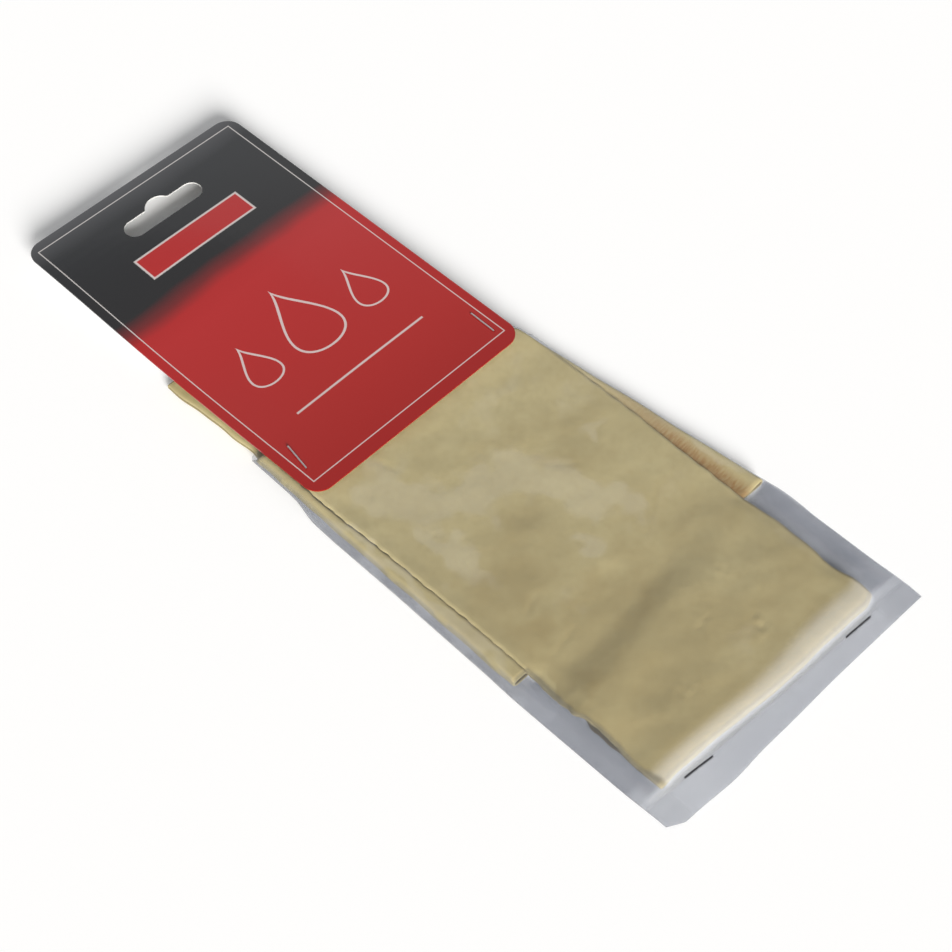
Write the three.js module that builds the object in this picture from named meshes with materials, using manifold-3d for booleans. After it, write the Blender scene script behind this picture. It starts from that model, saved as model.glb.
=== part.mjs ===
import * as THREE from "three";
import { mergeVertices } from "three/addons/utils/BufferGeometryUtils.js";
import Module from "manifold-3d";

// A chamois leather folded flat in a clear film sleeve, with a hang card stapled over the sleeve's mouth.
// Lengths are in mm. X runs across the pack, +Y towards the hang slot and +Z up.
// The origin lies on the surface the pack rests on, in the middle of its length and of the sleeve's width.

// Clearances
const seatGap = 0.3; // between pieces that lie on each other
const layerGap = 0.35; // between layers of the folded skin
const legClearance = 0.3; // round a staple leg in its hole

// Sleeve: a lay-flat film tube, open at its mouth, stapled flat at its other end
const sleeveWidth = 110;
const sleeveLength = 174;
const filmThickness = 0.15;
const sleeveEndSlope = -0.0134; // the end is cut slightly off square
const edgeFold = 1; // width of the film's folded side edge
const taperRun = 5.4; // length over which the flat tube closes round the skin's wider part

// Hang card
const cardSideInset = 10; // the card is narrower than the sleeve by this on each side
const cardLength = 142;
const cardThickness = 0.45;
const cardCorner = 6;
const cardLap = 26; // how far the card covers the sleeve
const cardOffset = -6.7; // the card's middle from the sleeve's middle
const cardTurn = 0.87; // degrees
const slotWidth = 32;
const slotHeight = 7.7; // of the slot's two arms
const slotTotalHeight = 10.7; // with the bump in the middle
const slotFillet = 1;
const slotBelowTop = 22; // card's top edge to the slot's lower edge

// Chamois skin
const skinThickness = 0.9;
const loopRadius = 0.95; // of the side folds, to the middle of the skin
const sideEaseLeft = 1.8; // sleeve's left edge to the skin's left fold
const sideEaseRight = 3.2; // sleeve's right edge to the skin's right fold, at the wide end
const packTaper = 9.9; // how much the right fold draws in towards the head
const endFoldAt = 11.5; // sleeve's end to the skin's end fold
const endFoldSlope = -0.043; // the end fold lies slightly askew
const innerEndAt = 62; // sleeve's end to the cut end of the inner layers
const headOut = 41.4; // how far the skin's head stands out of the sleeve's mouth
const neckDrop = 4; // right flap's head past the card's lower edge
const neckRun = 5; // length over which the skin narrows at the right flap's head
const neckWidth = 3.6; // how much it narrows there
const flapMeet = 4; // gap between the two side flaps' free edges
const endLoft = 3.8; // height of the end fold, between the middles of its layers
const dipLoft = 2.6; // the same in the valley past the inner layers' end
const panelInsetHead = 2.8; // top panel's left edge inside the left fold, at the card
const panelInsetFoot = 6.4; // the same at the end fold
const panelInsetRight = 9.6; // top panel's right edge inside the right fold, at the wide end
const panelStripRight = 2.2; // least width of the right fold left uncovered
const panelHidden = 10; // head fold to the top panel's cut end, under the card
const edgeWave = 0.6; // waviness of the top panel's cut edges

// Staples
const wire = 0.5;
const crownLength = 10.5;
const clinchLength = 3.2;
const cardStapleInset = 5.9; // crown from the card's side edge
const cardStapleUpLeft = 0.62; // staple's middle within the lap, as a share of it
const cardStapleUpRight = 0.51;
const cardStapleTurnLeft = -9.5; // degrees off the card's length
const cardStapleTurnRight = -1.1;
const sleeveStapleBack = 4.55; // crown line from the skin's end fold
const sleeveStapleInLeft = 20.8; // crown's middle from the sleeve's left edge
const sleeveStapleInRight = 22.1; // and from its right edge
const sleeveStapleTurnLeft = -6; // degrees off the sleeve's width
const sleeveStapleTurnRight = -3.1;

// Levels, from the surface up; skin levels are those of the skin's middle
const clinchRoom = wire + seatGap;
const flatHeight = 2 * filmThickness + seatGap;
const bottomLevel = filmThickness + seatGap + skinThickness / 2;
const innerLevel = bottomLevel + skinThickness + layerGap;
const flapLevel = innerLevel + 2 * loopRadius;
const panelLevel = flapLevel + skinThickness + layerGap;
const endLevel = bottomLevel + endLoft;
const dipLevel = bottomLevel + dipLoft;
const coverUp = skinThickness / 2 + seatGap + filmThickness;
const filmTop = panelLevel + coverUp;
const cardBase = filmTop + seatGap + clinchRoom;

// Stations along the pack, from the sleeve's stapled end
const cardWidth = sleeveWidth - 2 * cardSideInset;
const packLength = sleeveLength + cardLength - cardLap;
const lapStart = sleeveLength - cardLap;
const flatEnd = endFoldAt - 3.4;
const endRiseFrom = endFoldAt - 2;
const endRiseTo = endFoldAt + 6.5;
const lapRiseFrom = lapStart - 8;
const lapRiseTo = lapStart + 2;
const flapHeadRight = lapStart + neckDrop;
const neckEnd = flapHeadRight + neckRun;
const flapHeadLeft = sleeveLength - 1.5;
const headFold = sleeveLength + headOut;
const headRadius = (innerLevel - bottomLevel) / 2;
const headStart = headFold - skinThickness / 2 - headRadius;
const endRadius = (endLevel - bottomLevel) / 2;
const endStart = endFoldAt + skinThickness / 2 + endRadius;
const panelEnd = headFold - panelHidden;
const endLine = -packLength / 2 + (Math.abs(sleeveEndSlope) * sleeveWidth) / 2;

// Value at t of a line through the given [t, value] knots, level past both ends
function through(knots, t) {
  if (t <= knots[0][0]) {
    return knots[0][1];
  }
  for (let k = 1; k < knots.length; k += 1) {
    const [t0, a] = knots[k - 1];
    const [t1, b] = knots[k];
    if (t <= t1) {
      return a + ((b - a) * (t - t0)) / (t1 - t0);
    }
  }
  return knots[knots.length - 1][1];
}

// The stapled ends stand off the surface by the clinched legs
const riseAt = (v) =>
  through(
    [
      [endRiseFrom, clinchRoom],
      [endRiseTo, 0],
      [lapRiseFrom, 0],
      [lapRiseTo, clinchRoom],
    ],
    v,
  );
// Slope of a crosswise line at distance v from the sleeve's end
const slopeAt = (v) =>
  through(
    [
      [0, sleeveEndSlope],
      [flatEnd - 2, endFoldSlope],
      [endStart, endFoldSlope],
      [innerEndAt - taperRun, 0],
    ],
    v,
  );
const place = (x, v, z) => new THREE.Vector3(x, endLine + v + slopeAt(v) * x, z + riseAt(v));

// The skin's outlines across the pack, as functions of v
const loopOut = loopRadius + skinThickness / 2;
const foldLeft = -sleeveWidth / 2 + sideEaseLeft + loopOut;
const foldRightWide = sleeveWidth / 2 - sideEaseRight - loopOut;
const foldRightHead = foldRightWide - packTaper;
const bodyLeft = (v) =>
  through(
    [
      [flapHeadLeft, foldLeft],
      [flapHeadLeft + 4, foldLeft + 1.6],
      [headStart, foldLeft],
    ],
    v,
  );
const bodyRight = (v) =>
  through(
    [
      [innerEndAt, foldRightWide],
      [flapHeadRight, foldRightHead],
      [neckEnd, foldRightHead - neckWidth],
    ],
    v,
  );
const wave = (v) => edgeWave * Math.sin((2 * Math.PI * v) / 27) * Math.sin((2 * Math.PI * v) / 71);
const panelFootLeft = foldLeft - loopOut + panelInsetFoot;
const panelFootRight = foldRightWide + loopOut - panelInsetRight;
const panelLeft = (v) =>
  wave(v) +
  through(
    [
      [endStart, panelFootLeft],
      [lapStart, foldLeft - loopOut + panelInsetHead],
    ],
    v,
  );
const panelRight = (v) =>
  Math.min(
    panelFootRight + wave(v + 20),
    bodyRight(v) + loopOut - panelStripRight - (v > flapHeadRight ? loopOut : 0),
  );
const bottomLeft = (v) =>
  v > neckEnd
    ? bodyLeft(v)
    : through(
        [
          [endStart, panelLeft(endStart)],
          [neckEnd, bodyLeft(neckEnd)],
        ],
        v,
      );
const bottomRight = (v) =>
  v > neckEnd
    ? bodyRight(v)
    : through(
        [
          [endStart, panelRight(endStart)],
          [neckEnd, bodyRight(neckEnd)],
        ],
        v,
      );
const panelHeight = (v) =>
  through(
    [
      [endRiseTo, endLevel],
      [(endRiseTo + innerEndAt) / 2 - 6, (endLevel + dipLevel) / 2 + 0.2],
      [(endRiseTo + innerEndAt) / 2 + 6, dipLevel],
      [innerEndAt - 2, panelLevel],
    ],
    v,
  );

// Body of given positions and triangles
function bodyOf(points, triangles) {
  const geometry = new THREE.BufferGeometry().setFromPoints(points);
  geometry.setIndex(triangles);
  return geometry;
}

// Closed body of a skin from rows of {p, n} points; present says which cells of the grid are there
function thickSheet(rows, present) {
  const across = rows[0].length;
  const points = [];
  const up = new Map();
  const down = new Map();
  const point = (i, j, side) => {
    const known = side > 0 ? up : down;
    const key = j * across + i;
    if (!known.has(key)) {
      const { p, n } = rows[j][i];
      known.set(key, points.length);
      points.push(p.clone().addScaledVector(n, (side * skinThickness) / 2));
    }
    return known.get(key);
  };
  const triangles = [];
  const quad = (a, b, c, d) => triangles.push(a, b, c, a, c, d);
  const has = (i, j) => i >= 0 && j >= 0 && i < across - 1 && j < rows.length - 1 && present(i, j);
  const rim = (i0, j0, i1, j1) =>
    quad(point(i0, j0, -1), point(i1, j1, -1), point(i1, j1, 1), point(i0, j0, 1));
  for (let j = 0; j < rows.length - 1; j += 1) {
    for (let i = 0; i < across - 1; i += 1) {
      if (!has(i, j)) {
        continue;
      }
      const ring = [
        [i, j],
        [i + 1, j],
        [i + 1, j + 1],
        [i, j + 1],
      ];
      const top = ring.map(([a, b]) => point(a, b, 1));
      const under = ring.map(([a, b]) => point(a, b, -1));
      quad(...top);
      quad(...under.reverse());
      const beside = [
        [i, j - 1],
        [i + 1, j],
        [i, j + 1],
        [i - 1, j],
      ];
      beside.forEach(([a, b], k) => {
        if (!has(a, b)) {
          rim(...ring[k], ...ring[(k + 1) % 4]);
        }
      });
    }
  }
  return bodyOf(points, triangles);
}

// The folded skin: inner layers with side flaps, head fold, bottom panel, end fold, top panel
const loopSteps = 5;
const bodySteps = 3;
const headSteps = 4;
const endSteps = 8;
function skin() {
  const rows = [];
  const spread = (left, right, v, z, n) => {
    const line = [];
    for (let i = 0; i <= bodySteps; i += 1) {
      line.push({ p: place(left + ((right - left) * i) / bodySteps, v, z), n: n.clone() });
    }
    return line;
  };
  const side = (xFold, xFree, v, out) => {
    const line = [];
    for (let k = 1; k <= loopSteps; k += 1) {
      const a = (Math.PI * k) / loopSteps;
      const dx = out * Math.sin(a);
      const dz = -Math.cos(a);
      const p = place(xFold + loopRadius * dx, v, innerLevel + loopRadius * (1 + dz));
      line.push({ p, n: new THREE.Vector3(-dx, 0, -dz) });
    }
    line.push({ p: place(xFree, v, flapLevel), n: new THREE.Vector3(0, 0, -1) });
    return line;
  };
  const flapRows = [];
  const addRow = (left, right, v, z, n, flapLeft, flapRight) => {
    const middle = (left + right) / 2;
    const sideLeft = side(left, middle - flapMeet / 2, v, -1).reverse();
    const sideRight = side(right, middle + flapMeet / 2, v, 1);
    rows.push([...sideLeft, ...spread(left, right, v, z, n), ...sideRight]);
    flapRows.push([flapLeft, flapRight]);
  };
  const thirds = [1, 2].map((k) => innerEndAt + ((lapRiseFrom - innerEndAt) * k) / 3);
  const upper = [lapRiseFrom, lapRiseTo, flapHeadRight, neckEnd, flapHeadLeft, flapHeadLeft + 4];
  const zUp = new THREE.Vector3(0, 0, 1);
  const zDown = new THREE.Vector3(0, 0, -1);
  for (const v of [innerEndAt, ...thirds, ...upper, headStart]) {
    addRow(bodyLeft(v), bodyRight(v), v, innerLevel, zUp, v < flapHeadLeft, v < flapHeadRight);
  }
  for (let k = 1; k < headSteps; k += 1) {
    const a = (Math.PI * k) / headSteps;
    const n = new THREE.Vector3(0, Math.sin(a), Math.cos(a));
    const v = headStart + headRadius * n.y;
    const z = (innerLevel + bottomLevel) / 2 + headRadius * n.z;
    addRow(bodyLeft(headStart), bodyRight(headStart), v, z, n, false, false);
  }
  const lower = [endRiseTo, innerEndAt - taperRun, innerEndAt, ...thirds];
  for (const v of [headStart, ...[...lower, ...upper].reverse(), endStart]) {
    addRow(bottomLeft(v), bottomRight(v), v, bottomLevel, zDown, false, false);
  }
  for (let k = 1; k < endSteps; k += 1) {
    const a = (Math.PI * k) / endSteps;
    const n = new THREE.Vector3(0, -Math.sin(a), -Math.cos(a));
    const v = endStart + endRadius * n.y;
    const z = (endLevel + bottomLevel) / 2 + endRadius * n.z;
    addRow(panelLeft(endStart), panelRight(endStart), v, z, n, false, false);
  }
  const dips = [-12, -6, 0, 6, 12].map((d) => (endRiseTo + innerEndAt) / 2 + d);
  const risen = [innerEndAt - taperRun, innerEndAt - 2, innerEndAt + 8, ...thirds, ...upper];
  for (const v of [endStart, endRiseTo, ...dips, ...risen, panelEnd]) {
    addRow(panelLeft(v), panelRight(v), v, panelHeight(v), zUp, false, false);
  }
  const first = loopSteps + 1;
  return thickSheet(rows, (i, j) => {
    if (i < first) {
      return flapRows[j][0];
    }
    return i < first + bodySteps || flapRows[j][1];
  });
}

// The sleeve: a tube of closed cross sections, each a ring of [x, z] corners
const loopRing = loopOut + seatGap + filmThickness + 0.15;
const loopMid = innerLevel + loopRadius;
const onLoop = (x, degrees) => [
  x + loopRing * Math.cos(THREE.MathUtils.degToRad(degrees)),
  loopMid + loopRing * Math.sin(THREE.MathUtils.degToRad(degrees)),
];
function sectionAt(v, top, left, right) {
  const margin = edgeWave + seatGap + filmThickness + 0.1;
  const half = sleeveWidth / 2;
  const shoulderLeft = [panelLeft(v) - margin, top];
  const wall = bodyRight(neckEnd) + seatGap + 2 * filmThickness;
  const along = (from, to, share) => [
    from[0] + (to[0] - from[0]) * share,
    from[1] + (to[1] - from[1]) * share,
  ];
  const leftEdge = [-half, flatHeight / 2];
  const leftFoot = [-half + edgeFold, flatHeight];
  let leftSide = [0.75, 0.5, 0.25].map((share) => along(leftFoot, shoulderLeft, share));
  if (left === "loop") {
    leftSide = [90, 130, 172].map((degrees) => onLoop(foldLeft, degrees));
    shoulderLeft[0] = Math.max(shoulderLeft[0], foldLeft + 0.1);
  }
  let rightBase = [half - edgeFold, 0];
  let shoulderRight = [panelFootRight + margin, top];
  let rightSide = [[half, flatHeight / 2], [half - edgeFold, flatHeight]];
  rightSide.push(...[0.25, 0.5, 0.75].map((share) => along(rightSide[1], shoulderRight, share)));
  if (right === "loop") {
    const fold = bodyRight(Math.min(v, flapHeadRight));
    rightBase = [fold, 0];
    shoulderRight = [Math.min(panelFootRight + margin, fold - 0.2), top];
    rightSide = [-50, -15, 20, 55, 90].map((degrees) => onLoop(fold, degrees));
  }
  if (right === "wall") {
    rightBase = [wall - 0.5, 0];
    shoulderRight = [wall - 0.6, top];
    rightSide = [0.08, 0.28, 0.48, 0.68, 0.88].map((share) => [wall, top * share]);
  }
  const middle = (shoulderLeft[0] + shoulderRight[0]) / 2;
  return [
    [-half + edgeFold, 0],
    [shoulderLeft[0] + 2, 0],
    [middle, 0],
    [shoulderRight[0] - 2, 0],
    rightBase,
    ...rightSide,
    shoulderRight,
    [middle, top],
    shoulderLeft,
    ...leftSide,
    leftFoot,
    leftEdge,
  ];
}

// The ring moved inwards by the film's thickness, with mitred corners
function insideOf(ring) {
  const count = ring.length;
  const outward = ring.map(([x, z], i) => {
    const [nextX, nextZ] = ring[(i + 1) % count];
    const length = Math.hypot(nextX - x, nextZ - z);
    return [(nextZ - z) / length, (x - nextX) / length];
  });
  return ring.map(([x, z], i) => {
    const [ax, az] = outward[(i + count - 1) % count];
    const [bx, bz] = outward[i];
    const scale = filmThickness / (1 + ax * bx + az * bz);
    return [x - (ax + bx) * scale, z - (az + bz) * scale];
  });
}

function sleeve() {
  const foldTop = endFoldAt + 0.3;
  const filmEnd = endLevel + coverUp;
  const closeAt = innerEndAt - 0.6;
  const slopeTop = (v) =>
    through(
      [
        [flatEnd, flatHeight],
        [foldTop, filmEnd],
        [closeAt, filmTop],
      ],
      v,
    );
  const sections = [];
  for (const v of [0, flatEnd - 2, flatEnd, endRiseFrom, foldTop, endRiseTo, innerEndAt - taperRun]) {
    sections.push([v, sectionAt(v, slopeTop(v), "flat", "flat")]);
  }
  for (const v of [closeAt, (closeAt + lapRiseFrom) / 2, lapRiseFrom, lapRiseTo, flapHeadRight + 0.6]) {
    sections.push([v, sectionAt(v, filmTop, "loop", "loop")]);
  }
  for (const v of [neckEnd + 0.6, sleeveLength]) {
    sections.push([v, sectionAt(v, filmTop, "loop", "wall")]);
  }
  const count = sections[0][1].length;
  const outer = sections.flatMap(([v, ring]) => ring.map(([x, z]) => place(x, v, z)));
  const inner = sections.flatMap(([v, ring]) => insideOf(ring).map(([x, z]) => place(x, v, z)));
  const shift = outer.length;
  const triangles = [];
  const quad = (a, b, c, d) => triangles.push(a, b, c, a, c, d);
  const last = (sections.length - 1) * count;
  for (let i = 0; i < count; i += 1) {
    const next = (i + 1) % count;
    for (let j = 0; j < sections.length - 1; j += 1) {
      const here = j * count;
      const there = here + count;
      quad(here + i, there + i, there + next, here + next);
      quad(shift + here + i, shift + here + next, shift + there + next, shift + there + i);
    }
    quad(i, next, shift + next, shift + i);
    quad(last + next, last + i, shift + last + i, shift + last + next);
  }
  return bodyOf([...outer, ...inner], triangles);
}

// Staples: a wire outline in the plane of the crown and legs, legs clinched inwards at z = 0
function stapleGeometry(height) {
  const half = crownLength / 2;
  const bend = wire;
  const outline = new THREE.Shape();
  outline.moveTo(-half + clinchLength, 0);
  outline.lineTo(-half + bend, 0);
  outline.absarc(-half + bend, bend, bend, -Math.PI / 2, -Math.PI, true);
  outline.lineTo(-half, height - bend);
  outline.absarc(-half + bend, height - bend, bend, Math.PI, Math.PI / 2, true);
  outline.lineTo(half - bend, height);
  outline.absarc(half - bend, height - bend, bend, Math.PI / 2, 0, true);
  outline.lineTo(half, bend);
  outline.absarc(half - bend, bend, bend, 0, -Math.PI / 2, true);
  outline.lineTo(half - clinchLength, 0);
  outline.lineTo(half - clinchLength, wire);
  outline.lineTo(half - wire, wire);
  outline.lineTo(half - wire, height - wire);
  outline.lineTo(-half + wire, height - wire);
  outline.lineTo(-half + wire, wire);
  outline.lineTo(-half + clinchLength, wire);
  outline.closePath();
  const geometry = new THREE.ExtrudeGeometry(outline, {
    depth: wire,
    bevelEnabled: false,
    curveSegments: 4,
  });
  geometry.translate(0, 0, -wire / 2);
  geometry.rotateX(Math.PI / 2);
  return geometry;
}

// Card's frame: its middle, and its turn about the upright axis
const turn = THREE.MathUtils.degToRad(cardTurn);
const cardReach =
  (cardLength / 2 - cardCorner) * Math.cos(turn) +
  (cardWidth / 2 - cardCorner) * Math.abs(Math.sin(turn)) +
  cardCorner;
const cardMiddle = new THREE.Vector3(cardOffset, packLength / 2 - cardReach, cardBase);
const fromCard = (x, y) =>
  new THREE.Vector3(x, y, 0).applyAxisAngle(new THREE.Vector3(0, 0, 1), turn).add(cardMiddle);

// Where each staple stands: the crown's middle, its direction and its height
const cardCrown = cardBase + cardThickness + seatGap + wire;
const sleeveCrown = clinchRoom + flatHeight + seatGap + wire;
const cardStapleX = cardWidth / 2 - cardStapleInset;
const cardStapleY = (share) => -cardLength / 2 + share * cardLap;
const sleeveStapleV = endFoldAt - sleeveStapleBack;
const staples = {
  card_staple_left: {
    at: fromCard(-cardStapleX, cardStapleY(cardStapleUpLeft)),
    turn: THREE.MathUtils.degToRad(90 + cardTurn + cardStapleTurnLeft),
    height: cardCrown,
  },
  card_staple_right: {
    at: fromCard(cardStapleX, cardStapleY(cardStapleUpRight)),
    turn: THREE.MathUtils.degToRad(90 + cardTurn + cardStapleTurnRight),
    height: cardCrown,
  },
  sleeve_staple_left: {
    at: place(-sleeveWidth / 2 + sleeveStapleInLeft, sleeveStapleV, 0),
    turn: THREE.MathUtils.degToRad(sleeveStapleTurnLeft),
    height: sleeveCrown,
  },
  sleeve_staple_right: {
    at: place(sleeveWidth / 2 - sleeveStapleInRight, sleeveStapleV, 0),
    turn: THREE.MathUtils.degToRad(sleeveStapleTurnRight),
    height: sleeveCrown,
  },
};
const legsOf = (staple) =>
  [-1, 1].map((end) => {
    const reach = (end * (crownLength - wire)) / 2;
    const x = staple.at.x + reach * Math.cos(staple.turn);
    const y = staple.at.y + reach * Math.sin(staple.turn);
    return new THREE.Vector2(x, y);
  });
const holeSize = wire + 2 * legClearance;

// Cutting a staple's two leg holes through a body
const wasm = await Module();
wasm.setup();
function solidOf(geometry) {
  const bare = geometry.clone();
  bare.deleteAttribute("normal");
  bare.deleteAttribute("uv");
  const merged = mergeVertices(bare, 1e-4);
  const mesh = new wasm.Mesh({
    numProp: 3,
    vertProperties: merged.attributes.position.array,
    triVerts: new Uint32Array(merged.index.array),
  });
  return new wasm.Manifold(mesh);
}
function geometryOf(solid) {
  const { vertProperties, triVerts } = solid.getMesh();
  const geometry = new THREE.BufferGeometry();
  geometry.setAttribute("position", new THREE.BufferAttribute(new Float32Array(vertProperties), 3));
  geometry.setIndex(new THREE.BufferAttribute(new Uint32Array(triVerts), 1));
  return geometry;
}
function withLegHoles(geometry, names) {
  let solid = solidOf(geometry);
  for (const name of names) {
    for (const leg of legsOf(staples[name])) {
      const cutter = new THREE.BoxGeometry(holeSize, holeSize, 6 * filmTop);
      cutter.rotateZ(staples[name].turn);
      cutter.translate(leg.x, leg.y, 0);
      solid = solid.subtract(solidOf(cutter));
    }
  }
  return geometryOf(solid);
}

// The card's outline with the euro slot and the staples' leg holes
function cardGeometry() {
  const w = cardWidth / 2;
  const h = cardLength / 2;
  const c = cardCorner;
  const outline = new THREE.Shape();
  outline.moveTo(-w + c, -h);
  outline.lineTo(w - c, -h);
  outline.absarc(w - c, -h + c, c, -Math.PI / 2, 0, false);
  outline.lineTo(w, h - c);
  outline.absarc(w - c, h - c, c, 0, Math.PI / 2, false);
  outline.lineTo(-w + c, h);
  outline.absarc(-w + c, h - c, c, Math.PI / 2, Math.PI, false);
  outline.lineTo(-w, -h + c);
  outline.absarc(-w + c, -h + c, c, Math.PI, Math.PI * 1.5, false);
  const low = h - slotBelowTop;
  const arm = slotHeight / 2;
  const bump = slotTotalHeight / 2;
  const rise = slotHeight + slotFillet - bump;
  const filletX = Math.sqrt((bump + slotFillet) ** 2 - rise ** 2);
  const tilt = Math.atan2(rise, filletX);
  const slot = new THREE.Path();
  slot.moveTo(-slotWidth / 2 + arm, low);
  slot.lineTo(slotWidth / 2 - arm, low);
  slot.absarc(slotWidth / 2 - arm, low + arm, arm, -Math.PI / 2, Math.PI / 2, false);
  slot.lineTo(filletX, low + slotHeight);
  slot.absarc(filletX, low + slotHeight + slotFillet, slotFillet, -Math.PI / 2, -Math.PI + tilt, true);
  slot.absarc(0, low + bump, bump, tilt, Math.PI - tilt, false);
  slot.absarc(-filletX, low + slotHeight + slotFillet, slotFillet, -tilt, -Math.PI / 2, true);
  slot.lineTo(-slotWidth / 2 + arm, low + slotHeight);
  slot.absarc(-slotWidth / 2 + arm, low + arm, arm, Math.PI / 2, Math.PI * 1.5, false);
  outline.holes.push(slot);
  return new THREE.ExtrudeGeometry(outline, {
    depth: cardThickness,
    bevelEnabled: false,
    curveSegments: 8,
  });
}

// Materials
const leather = new THREE.MeshStandardMaterial({ color: 0xc8bb90, roughness: 0.95, metalness: 0 });
const film = new THREE.MeshStandardMaterial({
  color: 0xdfe4ea,
  roughness: 0.15,
  metalness: 0,
  transparent: true,
  opacity: 0.3,
});
const print = new THREE.MeshStandardMaterial({ color: 0xa8201f, roughness: 0.2, metalness: 0 });
const steel = () => new THREE.MeshStandardMaterial({ color: 0xb9bbbd, roughness: 0.3, metalness: 1 });

// Assembly
const part = new THREE.Group();
function add(name, geometry, material) {
  const mesh = new THREE.Mesh(geometry, material);
  mesh.name = name;
  part.add(mesh);
  return mesh;
}
const cardStaples = ["card_staple_left", "card_staple_right"];
const allStaples = Object.keys(staples);
add("chamois_leather", withLegHoles(skin(), cardStaples), leather);
add("clear_sleeve", withLegHoles(sleeve(), allStaples), film);
const card = cardGeometry();
card.rotateZ(turn);
card.translate(cardMiddle.x, cardMiddle.y, cardMiddle.z);
add("header_card", withLegHoles(card, cardStaples), print);
for (const name of allStaples) {
  const { at, turn: angle, height } = staples[name];
  const staple = add(name, stapleGeometry(height), steel());
  staple.position.set(at.x, at.y, 0);
  staple.rotation.z = angle;
}

export default part;
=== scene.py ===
import math

import bmesh
import bpy
import numpy as np
from mathutils import Matrix, Vector


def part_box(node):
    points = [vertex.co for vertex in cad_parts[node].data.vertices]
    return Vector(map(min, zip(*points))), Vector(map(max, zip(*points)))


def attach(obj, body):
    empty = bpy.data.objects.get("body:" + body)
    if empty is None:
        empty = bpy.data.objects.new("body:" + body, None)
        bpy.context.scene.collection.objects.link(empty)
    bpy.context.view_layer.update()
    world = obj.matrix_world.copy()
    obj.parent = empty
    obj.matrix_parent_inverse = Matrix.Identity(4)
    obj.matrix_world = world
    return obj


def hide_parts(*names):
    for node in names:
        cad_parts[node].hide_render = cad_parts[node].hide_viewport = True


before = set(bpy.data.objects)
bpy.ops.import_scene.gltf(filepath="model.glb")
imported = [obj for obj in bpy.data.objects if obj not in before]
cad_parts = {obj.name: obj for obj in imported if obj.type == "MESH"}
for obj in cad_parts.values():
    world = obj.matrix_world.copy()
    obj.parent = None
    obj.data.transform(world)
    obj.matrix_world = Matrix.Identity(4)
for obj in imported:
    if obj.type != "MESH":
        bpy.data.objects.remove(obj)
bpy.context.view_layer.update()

# A chamois leather folded flat in a clear film sleeve, with a hang card stapled over its mouth.
# Shapes are worked out in mm and written in metres. x runs across the pack, v along it from the
# sleeve's stapled end, z up from the surface it lies on.

MM = 0.001

# Sleeve: y of its stapled end, its size, and its edges as lists of v and x
END_LINE = -144.263
SLEEVE_HALF = 55.0
SLEEVE_LENGTH = 174.0
SLEEVE_LEFT = [
    (0, -54.4), (15, -54.6), (45, -55.0), (60, -55.2), (72, -54.9), (110, -54.7), (145, -55.0),
    (152, -53.9), (157, -53.6), (174, -53.45),
]
SLEEVE_RIGHT = [
    (0, 54.6), (6, 55.0), (50, 55.0), (54, 54.6), (60, 53.3), (80, 51.2), (100, 49.0), (123, 46.4),
    (148, 43.2),
]

# Skin: thickness, radii of its side loops and levels of its layers, to the middle of the skin
SKIN = 0.9
LOOP_LEFT = 1.25
LOOP_RIGHT = 0.95
BOTTOM_LEVEL = 0.9
BOTTOM_LIFT = 0.15
INNER_LEVEL = 2.15
FLAP_LEVEL = INNER_LEVEL + SKIN + 0.15
END_TOP = 5.1
HEAD_LEVEL = 3.75
EDGE_LIP = 0.32
# Where along the pack the skin's parts start and end, and how far its flaps stop short of the middle
INNER_END = 62.0
INNER_SLANT = 3.6
FLAP_HEAD_LEFT = 172.5
FLAP_HEAD_RIGHT = 152.0
FLAP_SHORT = 2
NECK_END = 157.0
HEAD_RADIUS = (INNER_LEVEL - BOTTOM_LEVEL) / 2
HEAD_START = 215.4 - SKIN / 2 - HEAD_RADIUS
END_START = 17.2
END_REACH = 7.5
PANEL_END = 205.4

# Card: its size, its place and turn on the pack, and its slot
CARD_WIDTH = 90.0
CARD_LENGTH = 142.0
CARD_THICK = 0.45
CARD_CORNER = 6.0
CARD_BASE = 7.3
CARD_MIDDLE = (-6.7, 74.2)
CARD_DEGREES = 0.87
CARD_TURN = math.radians(CARD_DEGREES)
CARD_SAG = 1.5
SLOT_WIDTH = 32.0
SLOT_HEIGHT = 7.7
SLOT_TOTAL = 10.7
SLOT_FILLET = 0.6
SLOT_LOW = CARD_LENGTH / 2 - 22.0

# Staples: wire, width of the crown, length of the clinched ends, and where their crowns lie
CARD_WIRE = 0.44
SLEEVE_WIRE = 0.38
CROWN = 10.5
CARD_CLINCH = 3.2
SLEEVE_CLINCH = 4.8
CARD_CROWN_SINK = 0.33
SLEEVE_CROWN_TOP = 1.12
SLEEVE_CROWN_SHIFT = 0.25
STAPLE_DEGREES = {
    "card_staple_left": 90 + CARD_DEGREES - 9.5, "card_staple_right": 90 + CARD_DEGREES - 1.1,
    "sleeve_staple_left": -6.0, "sleeve_staple_right": -3.1,
}


# Curves and waves
def through(knots, t, soft=0.0):
    """Value at t of a line through (t, value) knots, level past its ends, corners eased over soft."""
    at, value = np.array(knots, float).T
    if soft == 0.0:
        return np.interp(t, at, value)
    shifts = np.linspace(-soft, soft, 9)
    return np.mean([np.interp(np.asarray(t) + s, at, value) for s in shifts], axis=0)


def ease(t):
    """Smooth step from 0 at t = 0 to 1 at t = 1."""
    t = np.clip(t, 0.0, 1.0)
    return t * t * (3 - 2 * t)


def ripples(x, v, size, seed, count=9):
    """Irregular smooth waves about size mm long, with an rms height of 1."""
    rng = np.random.default_rng(seed)
    total = np.zeros(np.broadcast(x, v).shape)
    for _ in range(count):
        heading = rng.uniform(0, 2 * math.pi)
        length = size * rng.uniform(0.7, 1.5)
        phase = rng.uniform(0, 2 * math.pi)
        run = x * math.cos(heading) + v * math.sin(heading)
        total = total + np.sin(2 * math.pi * run / length + phase)
    return total / math.sqrt(count / 2)


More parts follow.
